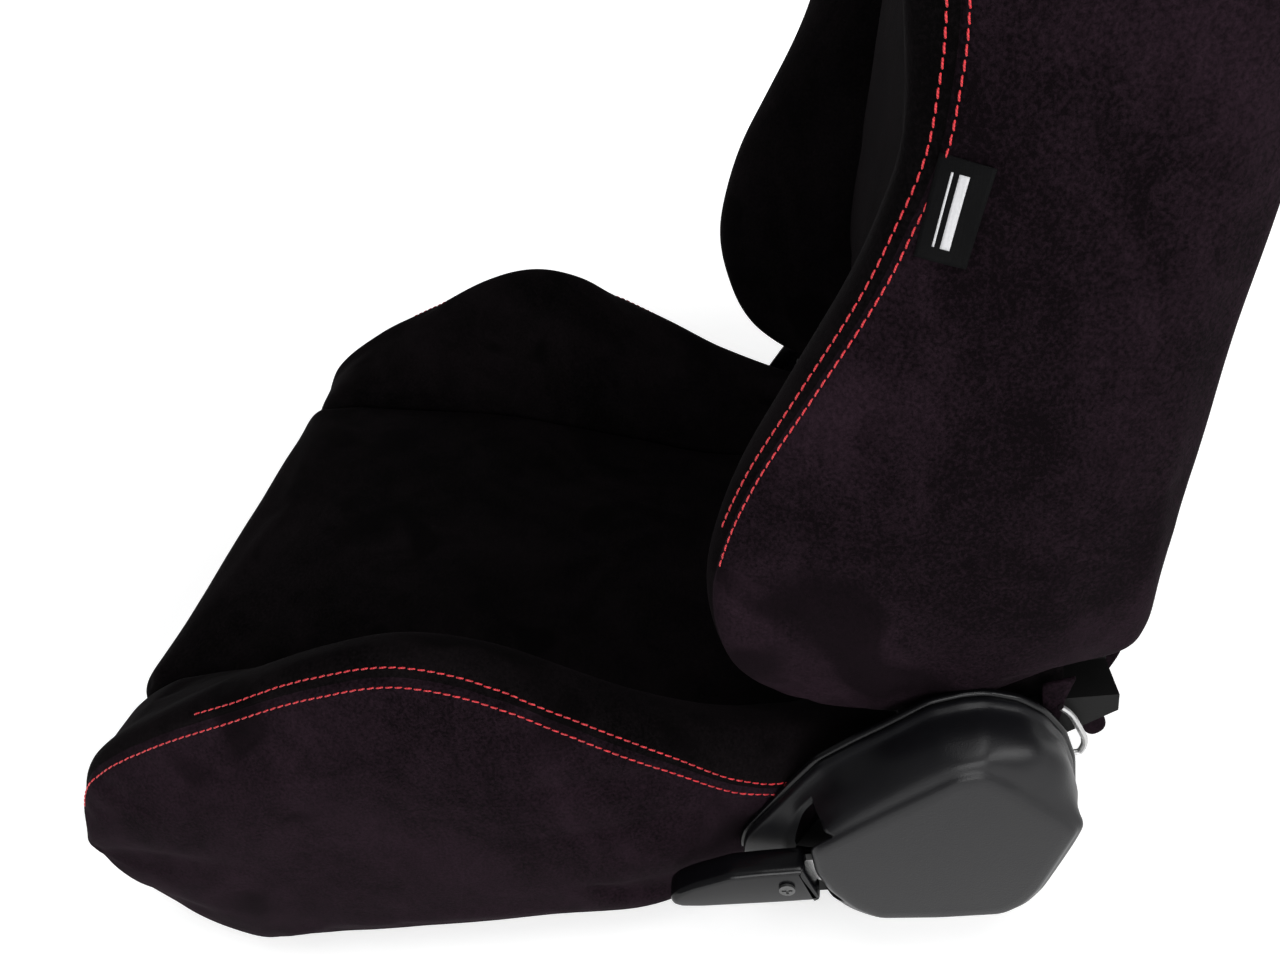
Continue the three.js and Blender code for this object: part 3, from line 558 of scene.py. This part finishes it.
def side_panel(node, stations, section, lift, seam, body):
    """Lofts one bolster, blows it up between its seams and returns it with its seam rows."""
    widest = max(stations, key=lambda u: ring_runs(*section(u))[2][-1])
    counts = ring_counts(*section(widest))
    rings = []
    for u in stations:
        points, rows = ring(*section(u), counts)
        rings.append(lift(u, points))
    count = len(rings[0])
    sides = {}
    for sign, side in SIDES:
        points = np.vstack(rings) * (sign, 1, 1)
        obj = make_object(f"suede_{node}_{side}", points, loft_faces(rings), body,
                          SUEDE, (f"{node}_{side}",))
        # The faces inside the seam take the darker suede copy: painted shade on the bolster's inner
        # side.
        obj.data.materials.append(SUEDE_PAINTED_SHADE)
        columns = np.arange(len(obj.data.polygons)) % count
        inside = (columns < rows[seam]) & (np.arange(len(columns)) < (len(stations) - 1) * count)
        obj.data.polygons.foreach_set("material_index", inside.astype(np.int32))
        grid = np.arange(len(points)).reshape(len(stations), count)
        hidden_end = rows[HELD_KEYS - 1]
        held = set(grid[:, :hidden_end + 1].ravel()) | set(grid[:, rows[seam]])
        held |= set(grid[:2].ravel()) | set(grid[-2:].ravel())
        puff(obj, held)
        sides[side] = (obj, grid, rows[seam], sign)
    return sides


def along_seam(obj, grid, row, strengths):
    values = coordinates(obj)
    return [(values[i], s) for i, s in zip(grid[:, row], strengths)]


def beside_seam(obj, grid, row, offset):
    """A line of points a set distance to one side of a seam, measured over the cover."""
    values = coordinates(obj)
    step = 1 if offset > 0 else -1
    line = []
    for station in range(len(grid)):
        left, here = abs(offset) * MM, row
        while True:
            nxt = (here + step) % grid.shape[1]
            a, b = values[grid[station, here]], values[grid[station, nxt]]
            gap = np.linalg.norm(b - a)
            if gap >= left or gap < 1e-7:
                line.append(a + (b - a) * (left / gap if gap > 1e-7 else 0))
                break
            left -= gap
            here = nxt
    return np.array(line)


def sew(sides, stations, body, scale, seed, strength, rows):
    """Draws in the seam of both bolsters, then sews rows of (name, offset, first, last)."""
    for side, (obj, grid, row, sign) in sides.items():
        ripple(obj, 1.1, scale, seed + sign)
        groove(obj, along_seam(obj, grid, row, np.interp(stations, *strength)), SEAM_DEPTH, SEAM_WIDTH)
        refine(obj)
        for name, offset, first, last in rows:
            line = beside_seam(obj, grid, row, offset)[(stations >= first) & (stations <= last)]
            stitches(f"stitch_{name}_{side}", obj, line, body)


cushion_stations = by_length([cushion_top, cushion_bottom], CUSHION_NOSE, CUSHION_REAR)
cushion_sides = side_panel(
    "cushion_bolster", cushion_stations, cushion_section,
    lambda y, p: np.stack([p[:, 0], np.full(len(p), y), p[:, 1]], 1),
    SEAM_KEY, "base")
sew(cushion_sides, cushion_stations, "base", 16.0, 1,
    ((-322, -300, 150, 190), (0.2, 1.0, 1.0, 0.6)),
    (("cushion_lower", 5.6, -312, 168), ("cushion_upper", -5.6, -205, 168)))


# ---------------- backrest bolsters
def back_section(z):
    front, rear, outer = bolster_front(z), back_rear(z), back_half_width(z)
    d = rear - front
    base = clamp(back_front(z), front + 0.25 * d, front + 0.8 * d)
    behind = clamp(back_front(z) + BACK_PAD_DEPTH, base + 0.1 * d, rear - 0.02 * d)
    notch = min(BACK_NOTCH, outer - 18)
    inner = min(BACK_INNER, notch - 20)
    swell, depth = min(1.0, d / 120), back_seam_depth(z)
    keys = [(notch, rear), (notch, behind), (inner, behind), (inner, base),
            (inner + 16, base - 0.5 * (base - front)), (outer - 47, front + 0.09 * (base - front) + 3),
            (outer - 33, front + 1.5 * swell), (outer - 21, front + 0.5 * swell),
            (outer - 12 + 0.42 * depth, front + depth * swell),
            (outer - 1.5, front + 0.17 * d + 6 + 0.5 * depth), (outer + 1, front + 0.5 * d),
            (outer - 3, rear - 0.13 * d), (outer - 12, rear - 1)]
    return keys, BOLSTER_KINDS


back_stations = by_length([bolster_front, back_rear], BACK_LOW, BACK_HIGH)
back_sides = side_panel(
    "backrest_bolster", back_stations, back_section,
    lambda z, p: np.stack([p[:, 0], p[:, 1], np.full(len(p), z)], 1),
    SEAM_KEY, "backrest")
sew(back_sides, back_stations, "backrest", 14.0, 5, ((240, 320, 740, 764), (0.0, 1.0, 1.0, 0.5)),
    (("backrest_outer", 3.8, 300, 758), ("backrest_inner", -4.8, 322, 758)))


# ---------------- centre pads
def signed_area(points):
    points = np.asarray(points, float)
    return np.sum(points[:, 0] * np.roll(points[:, 1], -1)
                  - np.roll(points[:, 0], -1) * points[:, 1]) / 2


def inset_line(points, amount):
    """A closed line moved inwards, with its corners kept short."""
    points = np.asarray(points, float)
    ahead = np.roll(points, -1, 0) - np.roll(points, 1, 0)
    ahead /= np.maximum(np.linalg.norm(ahead, axis=1), 1e-9)[:, None]
    inward = np.stack([-ahead[:, 1], ahead[:, 0]], 1) * (1 if signed_area(points) > 0 else -1)
    return points + inward * amount


def pad_loft(name, section, half, corner, crown, body, node, material=None):
    """A pad as slices across its width: round at both sides and crowned in the middle."""
    turn = np.linspace(0, math.pi / 2, 6)
    sides = half - corner + corner * np.sin(turn)
    middle = np.linspace(0, half - corner, int((half - corner) / SPACING) + 1)[:-1]
    across = np.r_[middle, sides]
    across = np.r_[-across[::-1], across[1:]]
    keys, kinds = section(0.0)
    counts = ring_counts(keys, kinds)
    rings = []
    for x in across:
        keys, kinds = section(crown(abs(x) / half))
        points, rows = ring(keys, kinds, counts)
        over = abs(x) - (half - corner)
        if over > 0:
            points = inset_line(points, corner - math.sqrt(max(corner**2 - over**2, 0)))
        rings.append(np.stack([np.full(len(points), x), points[:, 0], points[:, 1]], 1))
    count = len(rings[0])
    # Pads take the darker suede copy unless given another: painted shade.
    obj = make_object(name, np.vstack(rings), loft_faces(rings), body,
                      material or SUEDE_PAINTED_SHADE, (node,))
    return obj, np.arange(len(across) * count).reshape(len(across), count)


def held_points(grid, visible, front_edge=True):
    """The points that stay put on a pad: its hidden run, its two ends and its first corner."""
    held = set(grid[:, visible:].ravel()) | set(grid[:2].ravel()) | set(grid[-2:].ravel())
    return held | set(grid[:, 0]) if front_edge else held


def seat_section(lift):
    top = [(y, cushion_panel(y) + lift) for y in (150, 110, 60, 0, -50, -103, -160, -215, -258)]
    front = [(-290, cushion_panel(-284) + lift), (-305, 184), (-309, 160), (-307, 134), (-300, 98),
             (-290, 68), (-268, 42)]
    channel_front, channel_rear, roof = SHAFT_CHANNEL
    low = [(-240, 34)] + [(y, pad_underside(y)) for y in (-180, -100, -20, 60, 120, channel_front)]
    low += [(channel_front, roof), (channel_rear, roof)]
    low += [(y, pad_underside(y)) for y in (channel_rear, CUSHION_REAR)]
    keys = [(CUSHION_REAR, cushion_panel(CUSHION_REAR) + lift)] + top + front + low
    kinds = "c" + "s" * len(top) + "s" * len(front) + "c" + "s" * 5 + "ccccc"
    return keys, kinds


def crowned(shares, heights):
    """How far a pad stands proud, from its middle (0) to its side (1)."""
    return lambda s: float(np.interp(s, shares, heights))


PAD_CORNER = 9
seat_pad, seat_grid = pad_loft("suede_cushion_pad", seat_section, PAD_HALF, PAD_CORNER,
                               crowned((0, 0.55, 1), (4, 3, 0)), "base", "cushion_pad")
puff(seat_pad, held_points(seat_grid, ring_counts(*seat_section(0.0))[0]))
ripple(seat_pad, 1.4, 11.0, 9)
refine(seat_pad)


def back_pad_section(lift):
    levels = (235, 290, 350, 420, 500, 580, 640, 680)
    front = [(back_front(z) - lift, z) for z in levels]
    rear = [(back_front(z) + BACK_PAD_DEPTH, z) for z in reversed(levels)]
    low, high = 190, BACK_PAD_TOP
    keys = [(back_front(low) + BACK_PAD_DEPTH, low), (back_front(low) + 14, low),
            (back_front(203) - lift, 205)] + front
    keys += [(back_front(697) - lift + 2, 695), (back_front(high) + 8, high),
             (back_front(high) + BACK_PAD_DEPTH, high)] + rear
    kinds = "css" + "s" * len(front) + "ssc" + "s" * len(rear)
    return keys, kinds


back_pad, back_grid = pad_loft("suede_backrest_pad", back_pad_section, BACK_HALF, PAD_CORNER,
                               crowned((0, 0.5, 1), (6, 5, 0)), "backrest", "backrest_pad")
puff(back_pad, held_points(back_grid, ring_counts(*back_pad_section(0.0))[0]))
ripple(back_pad, 1.4, 11.0, 11)
refine(back_pad)


# ---------------- head pad and rear panel
def head_section(z):
    half = BACK_HALF - 0.5 if z <= BACK_HIGH else back_half_width(z)
    front, rear = back_front(z) - 3, back_rear(z) - 6.4
    edge = clamp((z - HEAD_LOW) / 8, 0.0, 1.0) * clamp((HEAD_HIGH - z) / 14, 0.0, 1.0)
    tuck = 5 * (1 - math.sqrt(max(0.0, 1 - (1 - edge) ** 2)))
    front, half = front + tuck, half - tuck * 0.6
    middle = 0.5 * (front + rear)
    side = [(half - 26, front + 3), (half - 8, front + 14), (half, middle - 12),
            (half - 2, middle + 8), (half - 14, rear - 1)]
    keys = [(-x, y) for x, y in reversed(side)]
    keys += [(-half * 0.5, front - 2), (0, front - 3), (half * 0.5, front - 2)] + side
    keys += [(half * 0.4, rear), (-half * 0.4, rear)]
    return keys, "c" + "s" * 11 + "c" + "ss"


def rounded_outline(width, height, corner, per_corner):
    """A rectangle with round corners, about its middle."""
    outline = []
    for quarter, (across, up) in enumerate(((1, 1), (-1, 1), (-1, -1), (1, -1))):
        for k in range(per_corner):
            a = math.radians(90 * quarter + 90 * k / (per_corner - 1))
            outline.append((across * (width / 2 - corner) + corner * math.cos(a),
                            up * (height / 2 - corner) + corner * math.sin(a)))
    return outline


def slot_cutter(sign):
    """A block with round corners along a harness slot, tilted as the slot is."""
    outline = rounded_outline(SLOT_WIDTH, SLOT_HEIGHT, SLOT_HEIGHT * 0.42, 7)
    tilt = math.radians(SLOT_TILT)
    middle = back_front(SLOT_Z) - 3
    return [(sign * SLOT_X + u, middle + depth * math.cos(tilt) + v * math.sin(tilt),
             SLOT_Z - depth * math.sin(tilt) + v * math.cos(tilt))
            for depth in (-30, 150) for u, v in outline]


def cut(obj, points):
    """Takes a block out of a piece, given as its two end outlines, and keeps the result."""
    n = len(points) // 2
    faces = [tuple(range(n)), tuple(range(n, 2 * n))]
    faces += [(i, (i + 1) % n, n + (i + 1) % n, n + i) for i in range(n)]
    data = new_mesh("cutter", points, faces)
    block = bpy.data.objects.new("cutter", data)
    scene.collection.objects.link(block)
    boolean = obj.modifiers.new("Cut", "BOOLEAN")
    boolean.operation, boolean.solver, boolean.object = "DIFFERENCE", "EXACT", block
    graph = bpy.context.evaluated_depsgraph_get()
    result = bpy.data.meshes.new_from_object(obj.evaluated_get(graph), depsgraph=graph)
    obj.modifiers.clear()
    old, obj.data = obj.data, result
    bpy.data.meshes.remove(old)
    bpy.data.objects.remove(block)
    bpy.data.meshes.remove(data)


head_stations = np.r_[np.linspace(HEAD_LOW, HEAD_LOW + 8, 4), np.arange(714, 918, SPACING),
                      np.linspace(HEAD_HIGH - 14, HEAD_HIGH, 5)]
head_counts = ring_counts(*head_section(720))
head_rings = []
for z in head_stations:
    points, _ = ring(*head_section(z), head_counts)
    head_rings.append(np.stack([points[:, 0], points[:, 1], np.full(len(points), z)], 1))
head_grid = np.arange(len(head_stations) * len(head_rings[0])).reshape(len(head_stations), -1)
# The head pad takes the darker suede copy: painted shade.
head_pad = make_object("suede_head_pad", np.vstack(head_rings), loft_faces(head_rings),
                       "backrest", SUEDE_PAINTED_SHADE, ("head_pad",))
puff(head_pad, held_points(head_grid, head_counts[0], False))
ripple(head_pad, 1.2, 12.0, 13)
refine(head_pad)


def rear_half(z):
    return min(212, back_half_width(z) - 14)


def rounding(distance):
    """How far the panel's face falls away at a distance from its edge."""
    share = clamp(distance / 5, 0, 1)
    return REAR_ROUND * (1 - math.sqrt(max(0.0, 1 - (1 - share) ** 2)))


rear_levels = np.r_[np.linspace(REAR_LOW, REAR_LOW + 6, 3), np.arange(236, 922, 6.0),
                    np.linspace(REAR_HIGH - 6, REAR_HIGH, 3)]
rear_rings = []
for z in rear_levels:
    half, round_off = rear_half(z), rounding(min(z - REAR_LOW, REAR_HIGH - z))
    outer, inner = [], []
    for s in np.linspace(-1, 1, 75):
        crown = REAR_CROWN * (1 - s * s)
        soft = rounding((1 - abs(s)) * half)
        outer.append((s * half, back_rear(z) + crown - soft - round_off, z))
        inner.append((s * half, back_rear(z) - REAR_THICK + crown + 0.2, z))
    rear_rings.append(np.array(outer + inner[::-1]))
rear_panel = make_object("suede_backrest_rear_panel", np.vstack(rear_rings), loft_faces(rear_rings),
                         "backrest", SUEDE, ("backrest_rear_panel",))
ripple(rear_panel, 0.8, 10.0, 17)


def rear_line(offset, low, high, sign):
    """A line down the rear panel, a set distance in from its edge."""
    return place_points([(sign * (rear_half(z) - offset),
                          back_rear(z) + REAR_CROWN * (1 - (1 - offset / rear_half(z)) ** 2), z)
                         for z in np.arange(low, high, 6.0)])


for sign, _ in SIDES:
    groove(rear_panel, [(p, 1.0) for p in rear_line(20, 232, 924, sign)], 1.5, 4.2)
for sign, _ in SIDES:
    cut(rear_panel, slot_cutter(sign))
    cut(head_pad, slot_cutter(sign))
for sign, side in SIDES:
    for offset, row_name in ((16, "outer"), (24, "inner")):
        stitches(f"stitch_rear_{row_name}_{side}", rear_panel, rear_line(offset, 238, 918, sign),
                 "backrest")


# ---------------- plates, covers and lever
def slab(name, outline, softness, levels, body, material, nodes=(), sign=1, step=1.6):
    """A flat piece as one outline repeated across x; levels are (x, inset) from side to side."""
    line = softened(outline, softness, step)
    rings = [np.column_stack([np.full(len(line), sign * x), inset_line(line, inset)])
             for x, inset in levels]
    return make_object(name, np.vstack(rings), loft_faces(rings), body, material, nodes)


RIM = [(88, 84), (92, 98), (127, 141), (141, 157), (163, 171), (182, 182), (202, 195), (220, 199),
       (232, 199), (248, 193), (261, 182), (271, 165), (276, 145), (277, 118), (254, 74), (243, 60),
       (232, 55), (164, 55), (112, 68)]
DOME = [(126, 92), (123, 108), (128, 132), (152, 158), (180, 179), (205, 193), (228, 197),
        (252, 188), (268, 170), (274, 146), (274, 124), (252, 76), (242, 62), (228, 57), (166, 57),
        (148, 64), (134, 78)]
FACE = [(140, 92), (134, 109), (133, 131), (178, 161), (211, 182), (223, 184), (238, 172),
        (263, 145), (270, 136), (251, 85), (243, 72), (232, 64), (197, 63), (163, 65), (151, 75)]
COVER_MIDDLE = np.array((205.0, 122.0))
COVER_TURN = np.linspace(0, 2 * math.pi, 180, endpoint=False)


def softened(outline, softness, step=0.5):
    """A closed outline with straight sides and softened corners, as close points."""
    corners = np.array(outline + outline[:1], float)
    along = np.r_[0, np.cumsum(np.linalg.norm(np.diff(corners, axis=0), axis=1))]
    where = np.arange(0, along[-1], step)
    line = np.stack([np.interp(where, along, corners[:, c]) for c in (0, 1)], 1)
    reach = int(5 * softness / step)
    kernel = np.exp(-0.5 * (np.arange(-reach, reach + 1) * step / softness) ** 2)
    kernel /= kernel.sum()
    wrapped = np.vstack([line[-reach:], line, line[:reach]])
    return np.stack([np.convolve(wrapped[:, c], kernel, "valid") for c in (0, 1)], 1)


def polar(outline, softness):
    """How far a softened outline reaches from the cover's middle, at even steps of angle."""
    line = softened(outline, softness) - COVER_MIDDLE
    angle = np.arctan2(line[:, 1], line[:, 0])
    order = np.argsort(angle)
    return np.interp((COVER_TURN + math.pi) % (2 * math.pi) - math.pi, angle[order],
                     np.hypot(*line.T)[order], period=2 * math.pi)


def cover_ring(x, reach, sign):
    spread = np.stack([np.cos(COVER_TURN), np.sin(COVER_TURN)], 1) * reach[:, None] + COVER_MIDDLE
    return np.column_stack([np.full(len(spread), sign * x), spread])


rim, dome, face = polar(RIM, 2.5), polar(DOME, 4.0), polar(FACE, 3.0)
cover_levels = [
    (244, rim), (246.4, rim), (248.2, rim - 0.4), (249.4, rim - 1.5),
    (250.8, rim * 0.82 + dome * 0.18 - 1.6), (252.8, rim * 0.62 + dome * 0.38 - 1.2),
    (255.4, rim * 0.36 + dome * 0.64 - 0.6), (258.6, rim * 0.14 + dome * 0.86),
    (262, rim * 0.03 + dome * 0.97), (265.6, dome - 0.3), (269.2, dome - 1.5),
    (272.6, dome * 0.86 + (face + 4) * 0.14 - 1.6), (275.4, dome * 0.62 + (face + 4) * 0.38 - 0.8),
    (277.8, dome * 0.36 + (face + 4) * 0.64), (279.4, dome * 0.16 + (face + 4) * 0.84),
    (280.4, face + 3.3), (281.1, face + 1.8), (282.0, face + 0.8), (282.9, face - 0.2),
    (283.6, face - 1.3), (283.95, face - 2.8), (284, face - 8), (284, face * 0.6),
    (284, face * 0.25)]
LEVER_SLOT, SLOT_CORNER = ((257, 100, 80), (281.2, 147, 141)), 5
COVER_WALL, HOOP_LIP, HOOP_WIDTH = 2.6, 2, 16


def lever_slot(sign):
    """The two end outlines of the block that opens a cover for the lever."""
    (x0, y0, z0), (x1, y1, z1) = LEVER_SLOT
    outline = rounded_outline(y1 - y0, z1 - z0, SLOT_CORNER, 6)
    return [(sign * x, (y0 + y1) / 2 + u, (z0 + z1) / 2 + v) for x in (x0, x1) for u, v in outline]


for sign, side in SIDES:
    rings = [cover_ring(x, reach, sign) for x, reach in cover_levels]
    faces = loft_faces(rings, False)
    faces += end_strip(rings[-1], (len(rings) - 1) * len(COVER_TURN))
    cover = make_object(f"moulded_cover_{side}", np.vstack(rings), faces, "base",
                        COVER, (f"recliner_cover_{side}",))
    shell = cover.modifiers.new("Wall", "SOLIDIFY")
    shell.thickness, shell.offset = COVER_WALL * MM, -1
    cut(cover, lever_slot(sign))
    outside, inside = rim + HOOP_LIP, rim + HOOP_LIP - HOOP_WIDTH
    hoop = [(239.6, outside - 1), (240.4, outside), (242.8, outside), (243.6, outside - 1),
            (243.6, inside + 1), (242.8, inside), (240.4, inside), (239.6, inside + 1)]
    rings = [cover_ring(x, reach, sign) for x, reach in hoop]
    count = len(hoop) * len(COVER_TURN)
    make_object(f"inner_cover_{side}", np.vstack(rings),
                [tuple(i % count for i in face) for face in loft_faces(rings + rings[:1], False)],
                "base", COVER_INNER, (f"recliner_inner_cover_{side}",))

slab("lever_grip_moulding", [
    (133, 82), (126, 111.5), (102, 110.5), (84, 109), (62, 101.5), (52, 96.5), (46.5, 91),
    (46.5, 85), (52, 81.5), (64, 80.5), (108, 81)], 1.6,
    [(263, 5), (263.8, 3.2), (265.2, 1.5), (267, 0.4), (269.5, 0), (272.5, 0), (275.5, 0),
     (278, 0.1), (280, 0.6), (281.2, 1.6), (281.8, 2.7), (282, 3.8)],
    "release", GRIP, ("lever_grip",), step=1.2)


# ---------------- trim under the backrest
FLAP = [(304, 222), (301, 190), (292, 160), (297, 128), (296, 102), (304, 90), (310, 93),
        (304, 127), (319, 163), (313, 222)]
flap, _ = pad_loft("suede_rear_flap", lambda lift: (FLAP, "cssssssssc"), 184, 2.6,
                   lambda s: 0.0, "backrest", "rear_flap", SUEDE)
ripple(flap, 1.6, 26.0, 21)
refine(flap)

STRAP = [(262, 157), (270, 157), (274, 181), (279, 196.5), (262, 192.5)]
for sign, side in SIDES:
    strap = slab(f"suede_trim_strap_{side}", STRAP, 0.8,
                 [(232, 0.5), (232.3, 0.1), (233.2, 0), (234.1, 0.1), (234.4, 0.5)], "backrest",
                 SUEDE, (f"trim_strap_{side}",), sign)


GUSSET = [(204, 160), (210, 182), (220, 200), (236, 207), (264, 207), (275, 204), (275, 182),
          (268, 167), (254, 158), (236, 162)]
# The side gussets take the darker suede copy: painted shade.
gussets = [slab(f"suede_side_gusset_{side}", GUSSET, 1.5,
                [(222, 0.4), (222.3, 0), (223.3, 0), (223.6, 0.4)], "backrest",
                SUEDE_PAINTED_SHADE, (), sign, 2.4) for sign, side in SIDES]


# ---------------- the sewn label
LABEL_CORNERS = np.array([(206.5, 451), (225, 445), (237, 482), (218.5, 488)], float)


def label_point(u, v):
    """Where a share across and along the label lies in y and z."""
    a, b, c, d = LABEL_CORNERS
    return (1 - u) * (1 - v) * a + u * (1 - v) * b + u * v * c + (1 - u) * v * d


def label_patch(name, part, across, along, rise, thick, material):
    """Part of the woven label, laid on the left backrest bolster and lifted at its free edge."""
    u0, u1, v0, v1 = part
    low, high = [], []
    for v in np.linspace(v0, v1, along):
        for u in np.linspace(u0, u1, across):
            y, z = label_point(u, v)
            lift = rise + LABEL_GAP + 1.2 * u**3 + 0.25 * math.sin(5 * v + 2 * u) * u
            base = LABEL_BED(u, v)
            for where, extra in ((low, 0), (high, thick)):
                where.append((base + lift + extra, y, z))
    n = across * along
    faces = []
    for r in range(along - 1):
        for k in range(across - 1):
            q = r * across + k
            faces += [(q, q + 1, q + across + 1, q + across),
                      (n + q, n + q + 1, n + q + across + 1, n + q + across)]
    border = (list(range(across)) + [r * across + across - 1 for r in range(1, along)]
              + [(along - 1) * across + k for k in range(across - 2, -1, -1)]
              + [r * across for r in range(along - 2, 0, -1)])
    faces += [(a, b, n + b, n + a) for a, b in zip(border, border[1:] + border[:1])]
    return make_object(name, np.array(low + high), faces, "backrest", material)


def label_bed():
    """How far out the bolster lies under the label, as a smooth patch through nine probes."""
    tree = surface_of(back_sides["left"][0])
    probes, reach = [], []
    for v in (0, 0.5, 1):
        for u in (0, 0.5, 1):
            y, z = label_point(u, v)
            at, _, _, _ = tree.ray_cast(Vector(place_points((290, y, z))), Vector((-1, 0, 0)))
            probes.append((1, u, v, u * v, u * u, v * v))
            reach.append(at.x / MM)
    terms = np.linalg.lstsq(np.array(probes), np.array(reach), rcond=None)[0]
    return lambda u, v: float(np.dot(terms, (1, u, v, u * v, u * u, v * v)))


LABEL_GAP, LABEL_THICK = 1.0, 0.7
LABEL_BED = label_bed()
label = label_patch("woven_label", (0, 1, 0, 1), 14, 26, 0, LABEL_THICK, LABEL)
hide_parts("sewn_label")
for name, low, high, across, thick in (("stripe", 0.42, 0.60, 5, 0.3), ("line", 0.27, 0.31, 3, 0.28)):
    label_patch(f"woven_label_{name}", (low, high, 0.14, 0.86), across, 24, LABEL_THICK - 0.1,
                thick, LABEL_PALE)

# ---------------- finishes of the CAD frame
NODE_FINISH = {
    "powder_coat": ("mounting_rail", "cushion_side_frame", "front_cross_tube", "middle_cross_tube",
                    "rear_cross_tube", "recliner_lower_plate", "recliner_arm", "backrest_frame_tube",
                    "backrest_cross_tube"),
    "spring_steel": ("cushion_spring", "backrest_spring", "return_spring"),
    "zinc_steel": ("pivot_bolt", "plate_bolt", "release_shaft", "release_cam", "pawl", "lever_arm",
                   "trim_hook"),
    "bezel_plastic": ("harness_bezel",),
}
for finish, starts in NODE_FINISH.items():
    for name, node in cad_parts.items():
        if name.startswith(starts):
            for held in node.material_slots:
                held.material = bpy.data.materials[finish]
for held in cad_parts["lever_screw"].material_slots:
    held.material = SPRING_STEEL


# ---------------- floor, light and camera
def floor_sheet():
    """A wide pale floor that glows more away from the seat, as a lit white sweep does."""
    work = bmesh.new()
    places = np.linspace(-9, 9, 37)
    rows = [[work.verts.new((x, y, -0.0004)) for x in places] for y in places]
    for a, b in zip(rows, rows[1:]):
        for i in range(len(places) - 1):
            work.faces.new((a[i], a[i + 1], b[i + 1], b[i]))
    data = bpy.data.meshes.new("floor")
    work.to_mesh(data)
    work.free()
    material, make, place = new_material("floor_paint")
    fine = noise_field(make, place, 220.0, 3.0, 0.6)
    tone = mixed(make, noise_field(make, place, 1.6), grey(0.86), grey(0.90))
    away = make("ShaderNodeVectorMath", {0: place}, operation="LENGTH").outputs["Value"]
    glow = span(make, away, 0.6, 1.6, 0.5, 1.05)
    finish_material(make, tone, span(make, fine, 0.3, 0.7, 0.62, 0.72),
                    bumped(make, [(fine, 0.0003, 0.15)]), Emission_Color=(1, 1, 1, 1),
                    Emission_Strength=glow)
    data.materials.append(material)
    obj = bpy.data.objects.new("floor", data)
    scene.collection.objects.link(obj)


def softbox(name, place, target, size, power):
    light = bpy.data.lights.new(name, "AREA")
    light.shape, light.size, light.size_y = "RECTANGLE", size[0], size[1]
    light.energy = power
    obj = bpy.data.objects.new(name, light)
    obj.location = place
    obj.rotation_euler = (Vector(target) - Vector(place)).to_track_quat("-Z", "Y").to_euler()
    scene.collection.objects.link(obj)


floor_sheet()
softbox("overhead", (0.9, 0.35, 2.6), (0.15, 0, 0.2), (1.2, 1.2), 20)
softbox("camera_side", (2.6, 0.2, 1.2), (0.2, 0, 0.25), (1.8, 1.2), 40)
softbox("rear_side", (1.55, 1.85, 1.45), (0.25, 0.2, 0.15), (0.9, 0.7), 22)
softbox("far_side", (-2.2, -0.8, 1.8), (-0.1, 0, 0.3), (1.2, 1.2), 7)
world = bpy.data.worlds.new("studio")
world.use_nodes = True
world.node_tree.nodes["Background"].inputs["Color"].default_value = (1.0, 1.0, 1.0, 1.0)
world.node_tree.nodes["Background"].inputs["Strength"].default_value = 0.2
scene.world = world
scene.view_settings.view_transform = "Standard"


def aim_camera(place, azimuth, elevation, roll, focal_pixels, width=1280, sensor=36.0):
    a, e, r = (math.radians(v) for v in (azimuth, elevation, roll))
    back = Vector((math.sin(a) * math.cos(e), -math.cos(a) * math.cos(e), math.sin(e)))
    right = (-back).cross(Vector((0, 0, 1))).normalized()
    up = right.cross(-back)
    across = right * math.cos(r) + up * math.sin(r)
    upward = up * math.cos(r) - right * math.sin(r)
    data = bpy.data.cameras.new("camera")
    data.sensor_width, data.lens = sensor, focal_pixels * sensor / width
    data.clip_start, data.clip_end = 0.02, 50
    obj = bpy.data.objects.new("camera", data)
    obj.matrix_world = Matrix((
        (across.x, upward.x, back.x, place[0]), (across.y, upward.y, back.y, place[1]),
        (across.z, upward.z, back.z, place[2]), (0, 0, 0, 1)))
    scene.collection.objects.link(obj)
    scene.camera = obj


aim_camera((0.63466, 0.10605, 0.6281), 102.09, 33.89, -13.56, 1048.0)
